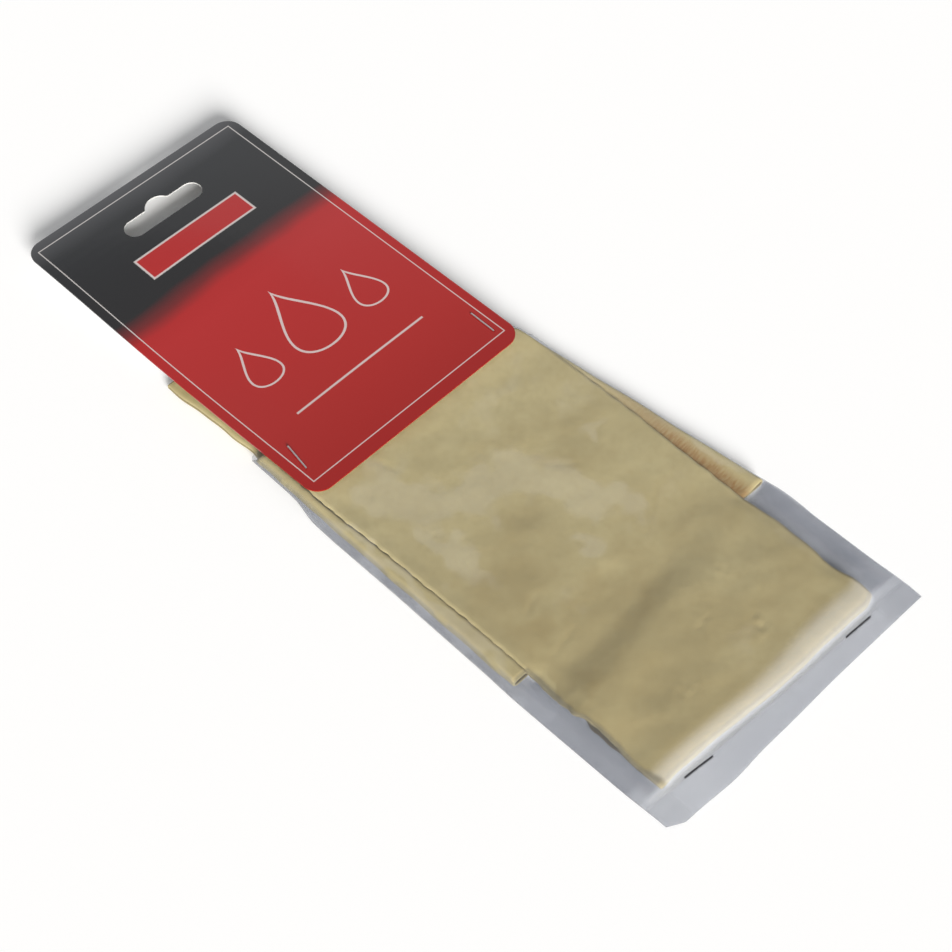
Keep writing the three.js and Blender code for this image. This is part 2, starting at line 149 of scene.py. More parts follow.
# Where a point of the pack lies
def rise(v):
    """Height of the stapled ends off the surface, by the clinched legs."""
    return through([(9.5, 0.4), (18, 0), (140, 0), (150, 0.8)], v, 2.0)


def askew(v):
    """Slope of a crosswise line of the pack."""
    return through([(0, -0.0134), (6.1, -0.043), (13.85, -0.043), (56.6, 0)], v, 1.0)


def end_bulge(x):
    """How far the end fold strays from its straight line."""
    middle = -1.1 * np.exp(-(((x - 2) / 20) ** 2))
    right_corner = 1.3 * ease((x - 38) / 5)
    left_corner = 0.5 * ease((-40 - x) / 6)
    return middle + right_corner - left_corner


def place(x, v, z):
    """Points in metres, in the shared frame."""
    near_fold = ease((26 - v) / 12) * ease((v - 6) / 4)
    y = END_LINE + v + askew(v) * x + end_bulge(x) * near_fold
    return np.stack(np.broadcast_arrays(x, y, z + rise(v)), axis=-1) * MM


# Outlines of the folded skin: x of the left loop's outside, then lists of v and x
OUTER_LEFT = -53.2
PANEL_LEFT = [
    (10.9, -45.9), (12.7, -46.8), (18, -47.9), (25.5, -47.2), (32.7, -46.8), (38.9, -47.3),
    (41.8, -48.3), (48.5, -48.0), (58.6, -47.3), (72, -47.4), (96, -47.7), (112, -48.1),
    (124, -48.5), (148, -49.8),
]
PANEL_RIGHT = [
    (9.9, 42.6), (13.9, 43.0), (18.9, 42.4), (25, 41.5), (27.6, 41.6), (31, 42.3), (38, 42.5),
    (46.6, 42.9), (57, 42.2), (64, 41.9), (94, 42.0), (103, 42.5), (120, 42.4), (140, 42.0),
    (152, 40.6), (157, 36.4),
]
BOTTOM_LEFT = [
    (13.8, -45.6), (18, -46.6), (25, -46.6), (36, -46.4), (41, -45.2), (58, -45.6), (157, -50.6),
]
BOTTOM_RIGHT = [(13.8, 42.0), (30, 41.2), (60, 41.6), (157, 36.9)]
BODY_LEFT = [(172.5, -51.5), (175.5, -50.5), (198, -51.8), (206, -52.5), (213, -53.1)]
BODY_RIGHT = [
    (58, 50.7), (62, 50.3), (80, 48.4), (100, 46.3), (123, 43.8), (152, 40.4), (157, 36.9),
]


def body_left(v):
    return through(BODY_LEFT, v, 0.8) + 0.13 * ripples(v, 0, 14, 11)


def body_right(v):
    return through(BODY_RIGHT, v, 1.0) + 0.1 * ripples(v, 0, 25, 12)


def panel_left(v):
    return through(PANEL_LEFT, v, 0.8) + 0.1 * ripples(v, 0, 5, 13) + 0.06 * ripples(v, 0, 2.6, 14)


def panel_right(v):
    return through(PANEL_RIGHT, v, 0.8) + 0.08 * ripples(v, 0, 6, 15)


def bottom_left(v):
    edge = through(BOTTOM_LEFT, v, 1.0) + 0.2 * ripples(v, 0, 6, 16)
    return np.where(v > NECK_END, body_left(v), edge)


def bottom_right(v):
    edge = through(BOTTOM_RIGHT, v, 1.0) + 0.2 * ripples(v, 0, 7, 17)
    return np.where(v > NECK_END, body_right(v), edge)


def end_height(x, v):
    """Top of the puffed end fold, to the middle of the skin, thinner at both corners."""
    corners = 0.8 * ease((-30 - x) / 16) + 0.35 * ease((x - 33) / 9)
    left_puff = 0.2 * ease((-20 - x) / 20) * ease((v - 30) / 10)
    return END_TOP - corners * ease((38 - v) / 14) + left_puff


# Soft spots are lists of middle x and v, half sizes along and across, turn in degrees, and amount.
DENTS = [
    (-26, 33, 11, 6, 20, 0.5), (-40, 23, 8, 5, 10, 0.35), (14, 27, 7, 5, 60, 0.16),
    (-30, 88, 13, 8, 35, 0.3), (22, 44, 16, 5, 25, 0.22), (-8, 101, 8, 5, 20, 0.22),
    (30, 70, 12, 6, -20, 0.15), (-14, 66, 12, 5, 15, 0.2), (-31, 76.5, 6, 0.9, 22, 0.2),
    (-26.5, 141, 6, 0.9, -68, 0.2), (12, 105, 6, 0.9, -45, 0.15), (-30, 62, 9, 1, 12, 0.15),
]
PUCKERS = [
    (10, 25, 6, 3, 30, 1.0), (1, 37.5, 6, 2.5, 10, 0.9), (17, 45, 5, 3, 50, 0.9),
    (-20, 25, 4, 2.5, 0, 0.9),
]
# Darker tone on the hide; the clouds low on the panel, over the flank below the end fold, are painted
# shade of that slope.
DARK_CLOUDS = [
    (-15, 97, 17, 9, 22, 0.45), (-32, 87, 20, 10, 10, 0.7), (-36, 48, 17, 7, 0, 0.75),
    (-12, 52, 29, 8, 8, 0.75), (-14, 62, 28, 8, 6, 0.65), (-36, 69, 13, 10, 0, 0.85),
    (-26, 32, 20, 11, 25, 0.65), (-40, 22, 11, 8, 10, 0.55), (15, 27, 11, 7, 40, 0.4),
    (14, 106, 10, 4.5, -50, 0.5), (14, 62, 26, 8, 14, 0.45), (0, 37, 26, 9, 8, 0.6),
    (29, 28, 15, 10, -20, 0.5), (28, 112, 16, 8, 0, 0.4), (8, 124, 12, 6, 0, 0.35),
    (-26, 148, 22, 5, 0, 0.45), (36, 140, 14, 14, 0, 0.2), (22, 78, 17, 8, 10, 0.35),
    (-38, 43, 8, 5, 0, 0.95),
]
LIGHT_CLOUDS = [
    (27, 46, 22, 11, 5, 0.85), (10, 20, 16, 5, 0, 0.8), (-44, 22, 6, 8, 0, 0.7),
    (38, 22, 8, 6, 0, 0.6),
]


def spots(x, v, places):
    """Strength of the strongest of some soft oval spots at each point, 1 in a full one's middle."""
    best = np.zeros(np.broadcast(x, v).shape)
    for mid_x, mid_v, along, across, turn, amount in places:
        c, n = math.cos(math.radians(turn)), math.sin(math.radians(turn))
        a = ((x - mid_x) * c + (v - mid_v) * n) / along
        b = ((v - mid_v) * c - (x - mid_x) * n) / across
        best = np.maximum(best, amount * np.exp(-((a * a + b * b) ** 1.3)))
    return best


def wavering(x, v, seed):
    """Points led a little astray, so that what is laid out by them gets a ragged outline."""
    astray_x = 2.2 * ripples(x, v, 17, seed) + 0.8 * ripples(x, v, 6, seed + 1)
    astray_v = 2.2 * ripples(x, v, 17, seed + 2) + 0.8 * ripples(x, v, 6, seed + 3)
    return x + astray_x, v + astray_v


def panel_height(x, v):
    """Top panel's level: puffed by the end fold, down a slanting flank, then on the inner layers."""
    flank = v - through([(-47, 55), (-38, 55), (-10, 56.8), (5, 59), (20, 62), (40, 66)], x, 4.0)
    width = through([(-46, 13.5), (-30, 12), (-10, 10.5), (5, 11.5), (20, 18), (36, 34)], x, 4.0)
    hollow = through([(-46, 0.5), (-10, 0.42), (20, 0.2), (36, 0)], x, 5.0)
    carried = through([(50, 4.35), (85, 4.42), (120, 4.7), (148, 4.95)], v, 8.0)
    carried = carried - hollow * np.exp(-((flank / 13) ** 2))
    carried = carried + 0.35 * ease(1 - (x - panel_left(v)) / 5) * ease((v - 58) / 8)
    lower = ease((flank + width) / width)
    level = end_height(x, v) * (1 - lower) + carried * lower
    cloud = 0.08 * ripples(x, v, 52, 21) + 0.06 * ripples(x, v, 23, 22)
    cloud = cloud + 0.026 * ripples(x, v, 8, 23, 14) + 0.009 * ripples(x, v, 4.5, 24, 14)
    cloud = cloud - spots(x, v, DENTS) + 0.1 * spots(x, v, PUCKERS) * ripples(x, v, 3.4, 25, 14)
    hidden = through([(150, 1), (172, 1), (184, 0)], v, 3.0)
    level = np.where(v > 165, HEAD_LEVEL + (level - HEAD_LEVEL) * hidden, level)
    return level + cloud * ease((v - 15) / 8) * (0.4 + 0.6 * hidden)


def edge_sag(x, left, right, v):
    """How far the top panel's free edges hang, where no inner layer carries them."""
    free = ease((64 - v) / 6) * ease((v - 15) / 10)
    hang = 0.1 + 0.6 * ease((v - 38) / 8)
    return free * (hang * ease(1 - (x - left) / 7) + 0.5 * ease(1 - (right - x) / 5))


# The skin as a sheet of rows and columns. A row has its body, and room for a side fold at each end.
BODY_COLUMNS = 96
LOOP_COLUMNS = 12
FLAP_COLUMNS = 16
NEAR_COLUMNS = 10
FAR_COLUMNS = 6
SIDE_COLUMNS = LOOP_COLUMNS + FLAP_COLUMNS + FAR_COLUMNS
# Share of each flap's way down from its loop that lies beside the top panel
LEFT_BESIDE = 0.53
RIGHT_BESIDE = 0.6


def side_fold(fold, free, v, out, radius, v_cut):
    """A side fold from the inner layer's edge: round the loop, down on to it, to the free edge."""
    turn = np.linspace(0, math.pi, LOOP_COLUMNS + 1)[1:]
    dive = FLAP_LEVEL - INNER_LEVEL - 2 * radius
    reach = np.concatenate([
        np.linspace(0, 4, NEAR_COLUMNS + 1)[1:],
        np.linspace(4, 9, FLAP_COLUMNS - NEAR_COLUMNS + 1)[1:],
        np.linspace(9, abs(free - fold), FAR_COLUMNS + 1)[1:],
    ])
    x = fold + out * np.append(radius * np.sin(turn), -reach)
    if out < 0:
        settled = max(panel_left(v) - fold - 0.3, 0.4)
        run = min(1.6, settled / LEFT_BESIDE)
        level_for = settled - LEFT_BESIDE * run
    else:
        settled = max(fold - panel_right(v) - 0.5, 0.9)
        run = min(settled / RIGHT_BESIDE, 6.0)
        level_for = 0.0
    drop = dive * ease((reach - level_for) / run)
    z = INNER_LEVEL + np.append(radius * (1 - np.cos(turn)), 2 * radius + drop)
    back = np.append(ease(turn / math.pi), np.ones(len(reach)))
    return np.array([x, v - v_cut * back, z])


def skin_rows():
    """The middle of the folded skin: points[row, column], their v, each row's flaps and layer."""
    points, stations, flaps, layers = [], [], [], []
    share = np.linspace(0, 1, BODY_COLUMNS + 1)
    no_fold = np.full((3, SIDE_COLUMNS), np.nan)

    def add(layer, left, right, v, z, has_left=False, has_right=False, cut_left=0.0, cut_right=0.0):
        body = np.array(np.broadcast_arrays(left + (right - left) * share, v, z))
        middle = (left + right) / 2
        v_left, v_right = body[1, 0], body[1, -1]
        one = two = no_fold
        if has_left:
            one = side_fold(left, middle - FLAP_SHORT, v_left, -1, LOOP_LEFT, cut_left)
        if has_right:
            two = side_fold(right, middle + FLAP_SHORT, v_right, 1, LOOP_RIGHT, cut_right)
        x, v, z = np.concatenate([one[:, ::-1], body, two], axis=1)
        points.append(place(x, v, z))
        stations.append(v)
        flaps.append((has_left, has_right))
        layers.append(layer)

    # Inner layer with its side flaps, up to the head
    inner = np.concatenate([
        np.linspace(INNER_END, 148, 58), np.linspace(149.3, FLAP_HEAD_RIGHT, 4),
        np.linspace(153, NECK_END, 5), np.linspace(159, FLAP_HEAD_LEFT, 10),
        np.linspace(173.2, HEAD_START, 30),
    ])
    for v in inner:
        slant = INNER_SLANT * ease((share - 0.45) / 0.55) * ease((88 - v) / 26)
        add(
            "inner", body_left(v), body_right(v - slant[-1]), v - slant, INNER_LEVEL,
            v <= FLAP_HEAD_LEFT, v <= FLAP_HEAD_RIGHT,
            1.2 * ease((v - 166) / 6.5), 1.5 * ease((v - 146) / 6),
        )
    # Round the head and back along the bottom
    for a in np.linspace(0, math.pi, 9)[1:-1]:
        v = HEAD_START + HEAD_RADIUS * math.sin(a)
        z = BOTTOM_LEVEL + HEAD_RADIUS * (1 + math.cos(a))
        add("bottom", body_left(HEAD_START), body_right(HEAD_START), v, z)
    low = BOTTOM_LEVEL + BOTTOM_LIFT
    for v in np.concatenate([np.linspace(HEAD_START, 159, 26), np.linspace(NECK_END, END_START, 95)]):
        sag = 0.12 * ripples(share * 95, v, 24, 31)
        add("bottom", bottom_left(v), bottom_right(v), v, low + np.clip(sag, -BOTTOM_LIFT, 0.3))
    # Round the end fold
    x = panel_left(END_START) + (panel_right(END_START) - panel_left(END_START)) * share
    top = panel_height(x, np.full(x.shape, END_START)) - edge_sag(x, x[0], x[-1], END_START)
    for a in np.linspace(0, math.pi, 33)[1:-1]:
        out = np.sin(a) ** 0.85
        v = END_START - END_REACH * out - 0.12 * ripples(x, 0, 17, 32) * out
        z = low + (top - low) * (1 - math.cos(a)) / 2
        gone_up = (1 - math.cos(a)) / 2
        left = bottom_left(END_START) * (1 - gone_up) + x[0] * gone_up
        right = bottom_right(END_START) * (1 - gone_up) + x[-1] * gone_up
        add("top", left, right, v, z)
    # Top panel, up under the card
    for v in np.concatenate([np.linspace(END_START, 150, 134), np.linspace(151.5, PANEL_END, 28)]):
        left, right = panel_left(v), panel_right(v)
        x = left + (right - left) * share
        z = panel_height(x, np.full(x.shape, v)) - edge_sag(x, left, right, v)
        add("top", left, right, v, z)
    return np.array(points), np.array(stations), np.array(flaps), np.array(layers)


def slope_along(points, axis):
    """Direction of the sheet along rows or columns, from the neighbours that are there."""
    step = np.diff(points, axis=axis)
    gap = np.full_like(np.take(points, [0], axis=axis), np.nan)
    pair = np.stack([np.concatenate([step, gap], axis=axis), np.concatenate([gap, step], axis=axis)])
    there = ~np.isnan(pair[..., :1])
    count = np.maximum(there.sum(axis=0), 1)
    return np.where(there, pair, 0).sum(axis=0) / count


def mesh_piece(name, points, faces):
    """A new object at the origin from points in metres and faces."""
    mesh = bpy.data.meshes.new(name)
    mesh.from_pydata([tuple(p) for p in points], [], faces)
    mesh.validate()
    mesh.update()
    piece = bpy.data.objects.new(name, mesh)
    bpy.context.scene.collection.objects.link(piece)
    for face in mesh.polygons:
        face.use_smooth = True
    return piece


def mark_points(piece, name, values):
    """Keeps one number for each point of a piece under that name."""
    mark = piece.data.attributes.new(name, "FLOAT", "POINT")
    mark.data.foreach_set("value", np.asarray(values, float))


def thick_skin(points, flaps, marks):
    """A closed skin round the middle sheet, with rounded cut edges: its points, faces and marks."""
    rows, columns = points.shape[:2]
    normal = np.cross(slope_along(points, 1), slope_along(points, 0))
    normal = normal / np.maximum(np.linalg.norm(normal, axis=-1, keepdims=True), 1e-12)
    first = SIDE_COLUMNS
    there = np.zeros((rows - 1, columns - 1), bool)
    there[:, first:first + BODY_COLUMNS] = True
    there[:, :first] = (flaps[:-1, 0] & flaps[1:, 0])[:, None]
    there[:, first + BODY_COLUMNS:] = (flaps[:-1, 1] & flaps[1:, 1])[:, None]
    used = np.zeros((rows, columns), bool)
    for dj in (0, 1):
        for di in (0, 1):
            used[dj:rows - 1 + dj, di:columns - 1 + di] |= there
    number = np.full((rows, columns), -1)
    number[used] = np.arange(used.sum())
    count = int(used.sum())
    half = SKIN / 2 * MM
    over = points[used] + normal[used] * half
    under = points[used] - normal[used] * half
    faces, rims, outward = [], [], {}
    for j, i in np.argwhere(there):
        ring = [(j, i), (j, i + 1), (j + 1, i + 1), (j + 1, i)]
        top = [int(number[c]) for c in ring]
        faces.append(top)
        faces.append([count + n for n in reversed(top)])
        middle = sum(points[c] for c in ring) / 4
        beside = [(j - 1, i), (j, i + 1), (j + 1, i), (j, i - 1)]
        for k, (b, a) in enumerate(beside):
            inside = 0 <= b < rows - 1 and 0 <= a < columns - 1
            if not (inside and there[b, a]):
                one, two = ring[k], ring[(k + 1) % 4]
                rims.append((one, two))
                away = (points[one] + points[two]) / 2 - middle
                for c in (one, two):
                    outward[c] = outward.get(c, 0) + away / np.linalg.norm(away)
    lip = {}
    lips = []
    for c, away in outward.items():
        lip[c] = 2 * count + len(lips)
        lips.append(points[c] + away / np.linalg.norm(away) * EDGE_LIP * MM)
    for one, two in rims:
        a, b = int(number[one]), int(number[two])
        faces.append([b, a, lip[one], lip[two]])
        faces.append([lip[two], lip[one], count + a, count + b])
    cut = np.zeros(2 * count + len(lips))
    for c in outward:
        cut[number[c]] = cut[count + number[c]] = 0.55
    cut[2 * count:] = 1.0
    spread = {
        name: np.concatenate([one[used], two[used], [min(one[c], two[c]) for c in outward]])
        for name, (one, two) in marks.items()
    }
    return np.concatenate([over, under, np.array(lips)]), faces, {"cut_edge": cut, **spread}


def chamois_skin():
    """The skin, marked where it is rough, dark, cut or painted with shade inside its folds, with its
    middle points and their v.
    """
    points, stations, flaps, layers = skin_rows()
    body_end = SIDE_COLUMNS + BODY_COLUMNS
    x = points[..., 0] / MM
    at_v = np.nan_to_num(stations)
    on_inner = (layers == "inner")[:, None]
    # Rough brown nap on the right flap, darkest next to the panel's right edge, where the dark is
    # painted shade of that edge.
    beside = np.nan_to_num(x - panel_right(stations))
    rough = np.nan_to_num(ease((128 - stations) / 50)) * (1 - ease((beside - 2) / 4.8))
    rough[:, :body_end + LOOP_COLUMNS // 2] = 0
    on_top = np.nan_to_num(points[..., 2]) > 3.4 * MM
    astray = wavering(np.nan_to_num(points[..., 0]) / MM, at_v, 51)
    # Darker clouds on top, partly painted shade: darker all over below v 70, the flank down from the
    # end fold.
    dark = np.maximum(spots(*astray, DARK_CLOUDS), 0.52 * ease((70 - at_v) / 18))
    dark = dark * (1 - spots(*astray, LIGHT_CLOUDS)) * on_top
    # Painted shade: a dark line where the left flap goes under the top panel's edge.
    groove_shade = np.nan_to_num(ease((x - panel_left(stations) + 0.9) / 0.5))
    groove_shade[:, SIDE_COLUMNS:] = 0
    # Painted shade on the hidden sides inside the folds: the inner layer's top, the undersides, and
    # the bottom layer's edges under the panel.
    shade_over_inner = on_inner * (at_v < 140) * 1.0
    shade_under_layers = np.where(on_inner, 0.45 * groove_shade, 1.0)
    shade_bottom_edge = (layers == "bottom")[:, None] * (at_v < INNER_END) * 1.0
    shade_bottom_edge[:, SIDE_COLUMNS + 1:body_end] = 0
    verts, faces, marks = thick_skin(points, flaps, {
        "rough_nap_and_panel_shade": (rough, rough), "dark_tone_and_shade": (dark, dark),
        "painted_shade_inside": (np.maximum(shade_over_inner, shade_bottom_edge), shade_under_layers),
    })
    piece = mesh_piece("chamois_skin", verts, faces)
    for name, values in marks.items():
        mark_points(piece, name, values)
    return piece, points, stations


# The film sleeve, drawn tight round the skin: thickness, gap to it, columns, ring spacing
FILM = 0.1
FILM_GAP = 0.14
FILM_COLUMNS = 120
FILM_STEP = 1.0
# Height of its creases at the sides, of its back, and the longest hollow that it spans
CREASE = 0.2
BACK_LEVEL = 0.06
SPAN = 14
# Where the film's slope down from the end fold starts and ends
SLOPE_FOOT = 7.8
SLOPE_CREST = 13.0
# Where the film lies on trapped air and looks paler
AIR_POCKETS = [
    (-33, 133, 17, 8, 84, 0.9), (-19, 118, 22, 8.5, -24, 1.0), (-35, 107, 16, 5, 84, 0.9),
    (5, 103, 24, 8, -68, 1.0), (12, 84, 10, 6, -75, 0.8), (-3, 80, 6.5, 4.5, 0, 0.85),
    (28, 107.5, 6.5, 3.2, -5, 0.7), (20, 138, 24, 6, 8, 0.45), (33, 120, 12, 6, 15, 0.4),
    (25, 74, 16, 6, 20, 0.35), (-22, 70, 14, 4, 14, 0.35), (4, 24, 20, 4, 8, 0.3),
    (-52, 105, 3, 52, 0, 0.9), (49, 76, 18, 3, 96, 0.9),
]


def hull(points, side):
    """Upper (side 1) or lower (side -1) chain of the convex hull of (x, z) points, by rising x."""
    chain = []
    for p in sorted(map(tuple, points)):
        while len(chain) > 1:
            (ax, az), (bx, bz) = chain[-2], chain[-1]
            if side * ((bx - ax) * (p[1] - az) - (bz - az) * (p[0] - ax)) < 0:
                break
            chain.pop()
        chain.append(p)
    return np.array(chain).T


def bridged(height, step, reach):
    """Each column of heights, with hollows shorter than reach mm spanned by straight film."""
    rows = np.arange(len(height))
    best = height.copy()
    offsets = range(1, int(reach / step) + 1, 2)
    for back in offsets:
        for on in offsets:
            a = height[np.maximum(rows - back, 0)]
            b = height[np.minimum(rows + on, len(height) - 1)]
            best = np.maximum(best, (a * on + b * back) / (on + back))
    return best


def film_tube(points, stations):
    """The sleeve by its sections: v of each, then x, upper z and lower z of its columns, in mm."""
    flat = points.reshape(-1, 3) / MM
    v_of = stations.reshape(-1)
    real = ~np.isnan(v_of)
    x_of, v_of = flat[real, 0], v_of[real]
    z_of = flat[real, 2] - rise(v_of)
    sections = np.append(np.arange(0, SLEEVE_LENGTH - 0.1, FILM_STEP), SLEEVE_LENGTH)
    even = np.linspace(0, 1, FILM_COLUMNS + 1)
    share = 0.4 * even + 0.3 * (1 - np.cos(math.pi * even))
    pad = SKIN / 2 + FILM_GAP
    around = [(pad * math.cos(a), pad * math.sin(a)) for a in np.linspace(0, 2 * math.pi, 13)[:-1]]
    xs, tops, lows = [], [], []
    for v in sections:
        near = np.abs(v_of - v) < 1.2
        cloud = [np.stack([x_of[near] + dx, z_of[near] + dz], 1) for dx, dz in around]
        cloud.append([(through(SLEEVE_LEFT, v, 2.0), CREASE + 1.7 * ease((v - 146) / 8))])
        if v < SLEEVE_RIGHT[-1][0]:
            cloud.append([(through(SLEEVE_RIGHT, v), CREASE + 1.8 * ease((v - 52) / 7.4))])
        cloud.append([(-50.0, BACK_LEVEL), (36.0, BACK_LEVEL)])
        cloud = np.concatenate(cloud)
        up, down = hull(cloud, 1), hull(cloud, -1)
        at = up[0][0] + (up[0][-1] - up[0][0]) * share
        xs.append(at)
        tops.append(np.interp(at, *up))
        lows.append(np.interp(at, *down))
    xs, tops, lows = np.array(xs), np.array(tops), np.array(lows)
    spanned = ease((sections[:, None] - 12) / 3)
    tops = tops + (bridged(tops, FILM_STEP, SPAN) - tops) * spanned
    foot, crest = np.searchsorted(sections, (SLOPE_FOOT, SLOPE_CREST))
    slope = np.clip((sections[:, None] - sections[foot]) / (sections[crest] - sections[foot]), 0, 1)
    draped = tops[foot] + (tops[crest] - tops[foot]) * slope
    tops = np.where(sections[:, None] < sections[crest], np.maximum(tops, draped), tops)
    tops = np.maximum(tops, lows + 0.26 * (share * (1 - share) * 4) ** 0.3)
    return sections, xs, tops, lows


def corner_curl(x, v):
    """Lift of the sleeve's lower left corner, which curls off the surface."""
    near = ease(1 - np.hypot((x + SLEEVE_HALF) / 1.1, v) / 15)
    return 0.7 * near + 0.1 * ease(1 - v / 4.5) * (1 + ripples(x, 0, 30, 41) / 3)


def film_left(v):
    """Left outline of what the film touches."""
    return np.where(v < 62.8, panel_left(v), OUTER_LEFT)


def film_right(v):
    """Right outline of what the film touches."""
    return np.where(v < 57.6, panel_right(v), body_right(v) + LOOP_RIGHT + SKIN / 2)


def film_slack(xs, v):
    """Height of the crumples in the film's loose margins."""
    left = np.clip((xs + 46) / -9, 0, 1) * ease((v - 4) / 8) * ease((64 - v) / 6)
    right = np.clip((xs - 43.5) / 8, 0, 1) * ease((v - 4) / 8) * ease((58 - v) / 6)
    off_crease = np.clip((np.abs(xs) - SLEEVE_HALF) / -3, 0, 1)
    crumple = 0.14 * ripples(xs, v, 19, 42) + 0.06 * ripples(xs, v, 8, 43)
    return np.maximum(left, right) * off_crease * crumple


def film_marks(xs, v):
    """How the film looks at each point, as pairs for its upper and its lower side."""
    past_right = xs - film_right(v)
    on_left = ease((film_left(v) - xs + 1.2) / 1.4)
    on_right = ease((past_right + 1.2) / 1.4)
    # The grey of loose film, partly painted shade: darker beside the panel's left edge and over the
    # right margin where the pack's shade falls, and lighter next to the panel's right edge, a painted
    # light that thins the cast shadow there.
    left_tint = 0.69 + (0.33 * ease((xs + 53) / 6) - 0.12) * ease((62 - v) / 4)
    right_tint = 0.95 - 0.15 * ease((xs - 49) / 5) - 0.1 * ease((24 - v) / 8)
    right_tint = right_tint - 0.5 * ease((v - 58) / 8)
    right_tint = right_tint - 0.33 * (1 - ease((past_right - 1) / 8)) * ease((v - 14) / 6)
    loose = np.maximum(left_tint * on_left, np.maximum(right_tint, 0) * on_right)
    at_end = ease((11.2 - v) / 1.4)
    end_tint = 0.49 - 0.08 * ease((-20 - xs) / 20) + 0.06 * ease((xs - 40) / 10)
    loose = loose * (1 - at_end) + at_end * end_tint
    # Painted shade under the skin's side edges, on the film's lower side.
    shade_edge_x = np.where(v < 60, -44.5, -48)
    grey_and_shade_below = np.maximum(loose, 0.9 * ease((shade_edge_x - xs) / 2) * ease((v - 12) / 4))
    # Milky film at the stapled end, whiter over the end fold as a painted highlight of the film's
    # gloss there.
    milk_end = 15.8 + 2.5 * ease((xs + 15) / 40)
    milky = np.interp(v, (7, 8, 9, 10), (0.3, -0.4, 0.88, 1)) * ease((milk_end - v) / 4.6)
    milky = milky * (1 - 0.8 * np.maximum(on_left, on_right))
    air = spots(*wavering(xs, v, 61), AIR_POCKETS)
    return {
        "film_grey_and_shade": (loose, grey_and_shade_below), "milk_and_end_highlight": (milky, milky), "air_under_film": (air, air),
    }


def film_rings(sections, xs, tops, lows, inset):
    """Rings of points round the tube, inset that far, its end wavy and its left corner clipped."""
    count = xs.shape[1]
    edge = np.clip(np.minimum(xs - xs[:, :1], xs[:, -1:] - xs) / 0.6, 0, 1)
    room = np.minimum(inset, (tops - lows) * 0.35)
    x = xs * (1 - inset / SLEEVE_HALF)
    up = tops - room * edge
    down = lows + room * edge
    x = np.concatenate([x, x[:, -2:0:-1]], axis=1)
    z = np.concatenate([up, down[:, -2:0:-1]], axis=1)
    v = np.broadcast_to(sections[:, None], x.shape)
    clipped = 2.2 * np.clip((-49.2 - x) / 5.2, 0, 1) * ease(1 - v / 7)
    v = v + clipped - 0.6 * ease(1 - v / 2.5) * ease((20 - x) / 30)
    v = v - 0.75 * ease(1 - v / 4) * np.exp(-((x + 30) / 9) ** 2)
    z[:, 0] = (tops[:, 0] + lows[:, 0]) / 2
    z[:, count - 1] = (tops[:, -1] + lows[:, -1]) / 2
    return place(x, v, z + corner_curl(x, v))


def clear_film(points, stations):
    """The film sleeve, drawn round the skin's middle points."""
    sections, xs, tops, lows = film_tube(points, stations)
    v = np.broadcast_to(sections[:, None], xs.shape)
    tops = np.maximum(tops + film_slack(xs, v), lows + 0.12)
    outer = film_rings(sections, xs, tops, lows, 0.0)
    inner = film_rings(sections, xs, tops, lows, FILM)
    rows, around = outer.shape[:2]
    shift = rows * around
    faces = []
    for j in range(rows - 1):
        for i in range(around):
            n = (i + 1) % around
            wall = [j * around + i, j * around + n, (j + 1) * around + n, (j + 1) * around + i]
            faces.append(wall)
            faces.append([shift + c for c in reversed(wall)])
    for j, flip in ((0, False), (rows - 1, True)):
        for i in range(around):
            n = (i + 1) % around
            rim = [j * around + n, j * around + i, shift + j * around + i, shift + j * around + n]
            faces.append(rim[::-1] if flip else rim)
    verts = np.concatenate([outer.reshape(-1, 3), inner.reshape(-1, 3)])
    piece = mesh_piece("film_sleeve", verts, faces)
    for name, (above, below) in film_marks(xs, v).items():
        around_tube = np.concatenate([above, below[:, -2:0:-1]], axis=1).reshape(-1)
        mark_points(piece, name, np.concatenate([around_tube, around_tube]))
    return piece


# Modelling by hand
def start(piece):
    """Edit mode on one piece alone."""
    bpy.ops.object.select_all(action="DESELECT")
    piece.select_set(True)
    bpy.context.view_layer.objects.active = piece
    bpy.ops.object.mode_set(mode="EDIT")
    bpy.ops.mesh.select_all(action="DESELECT")


def done():
    """Back to object mode."""
    bpy.ops.object.mode_set(mode="OBJECT")


def pull(x, y, z):
    """Extrudes what is selected that far in mm."""
    bpy.ops.mesh.extrude_region_move(TRANSFORM_OT_translate={"value": (x * MM, y * MM, z * MM)})


def choose(piece, kind, wanted):
    """Selects the faces, edges or vertices of a piece in edit mode for which wanted is true."""
    bpy.ops.mesh.select_mode(type={"faces": "FACE", "edges": "EDGE", "verts": "VERT"}[kind])
    bpy.ops.mesh.select_all(action="DESELECT")
    mesh = bmesh.from_edit_mesh(piece.data)
    for part in getattr(mesh, kind):
        if wanted(part):
            part.select_set(True)
    mesh.select_flush_mode()
    bmesh.update_edit_mesh(piece.data)


def block(name, size, middle):
    """A box of that size in mm about its middle."""
    bpy.ops.object.select_all(action="DESELECT")
    bpy.ops.mesh.primitive_cube_add(size=1, location=[c * MM for c in middle])
    piece = bpy.context.object
    piece.name = piece.data.name = name
    piece.scale = [c * MM for c in size]
    bpy.ops.object.transform_apply(location=True, rotation=True, scale=True)
    return piece


def upright(edge):
    """Whether an edge stands straight up."""
    a, b = (v.co for v in edge.verts)
    return abs(a.x - b.x) < 1e-6 and abs(a.y - b.y) < 1e-6


def cut_from(piece, cutter):
    """Cuts one piece out of another, and takes it away."""
    bpy.ops.object.select_all(action="DESELECT")
    bpy.context.view_layer.objects.active = piece
    piece.select_set(True)
    cut = piece.modifiers.new("cut", "BOOLEAN")
    cut.operation = "DIFFERENCE"
    cut.solver = "EXACT"
    cut.object = cutter
    bpy.ops.object.modifier_apply(modifier=cut.name)
    bpy.data.objects.remove(cutter)


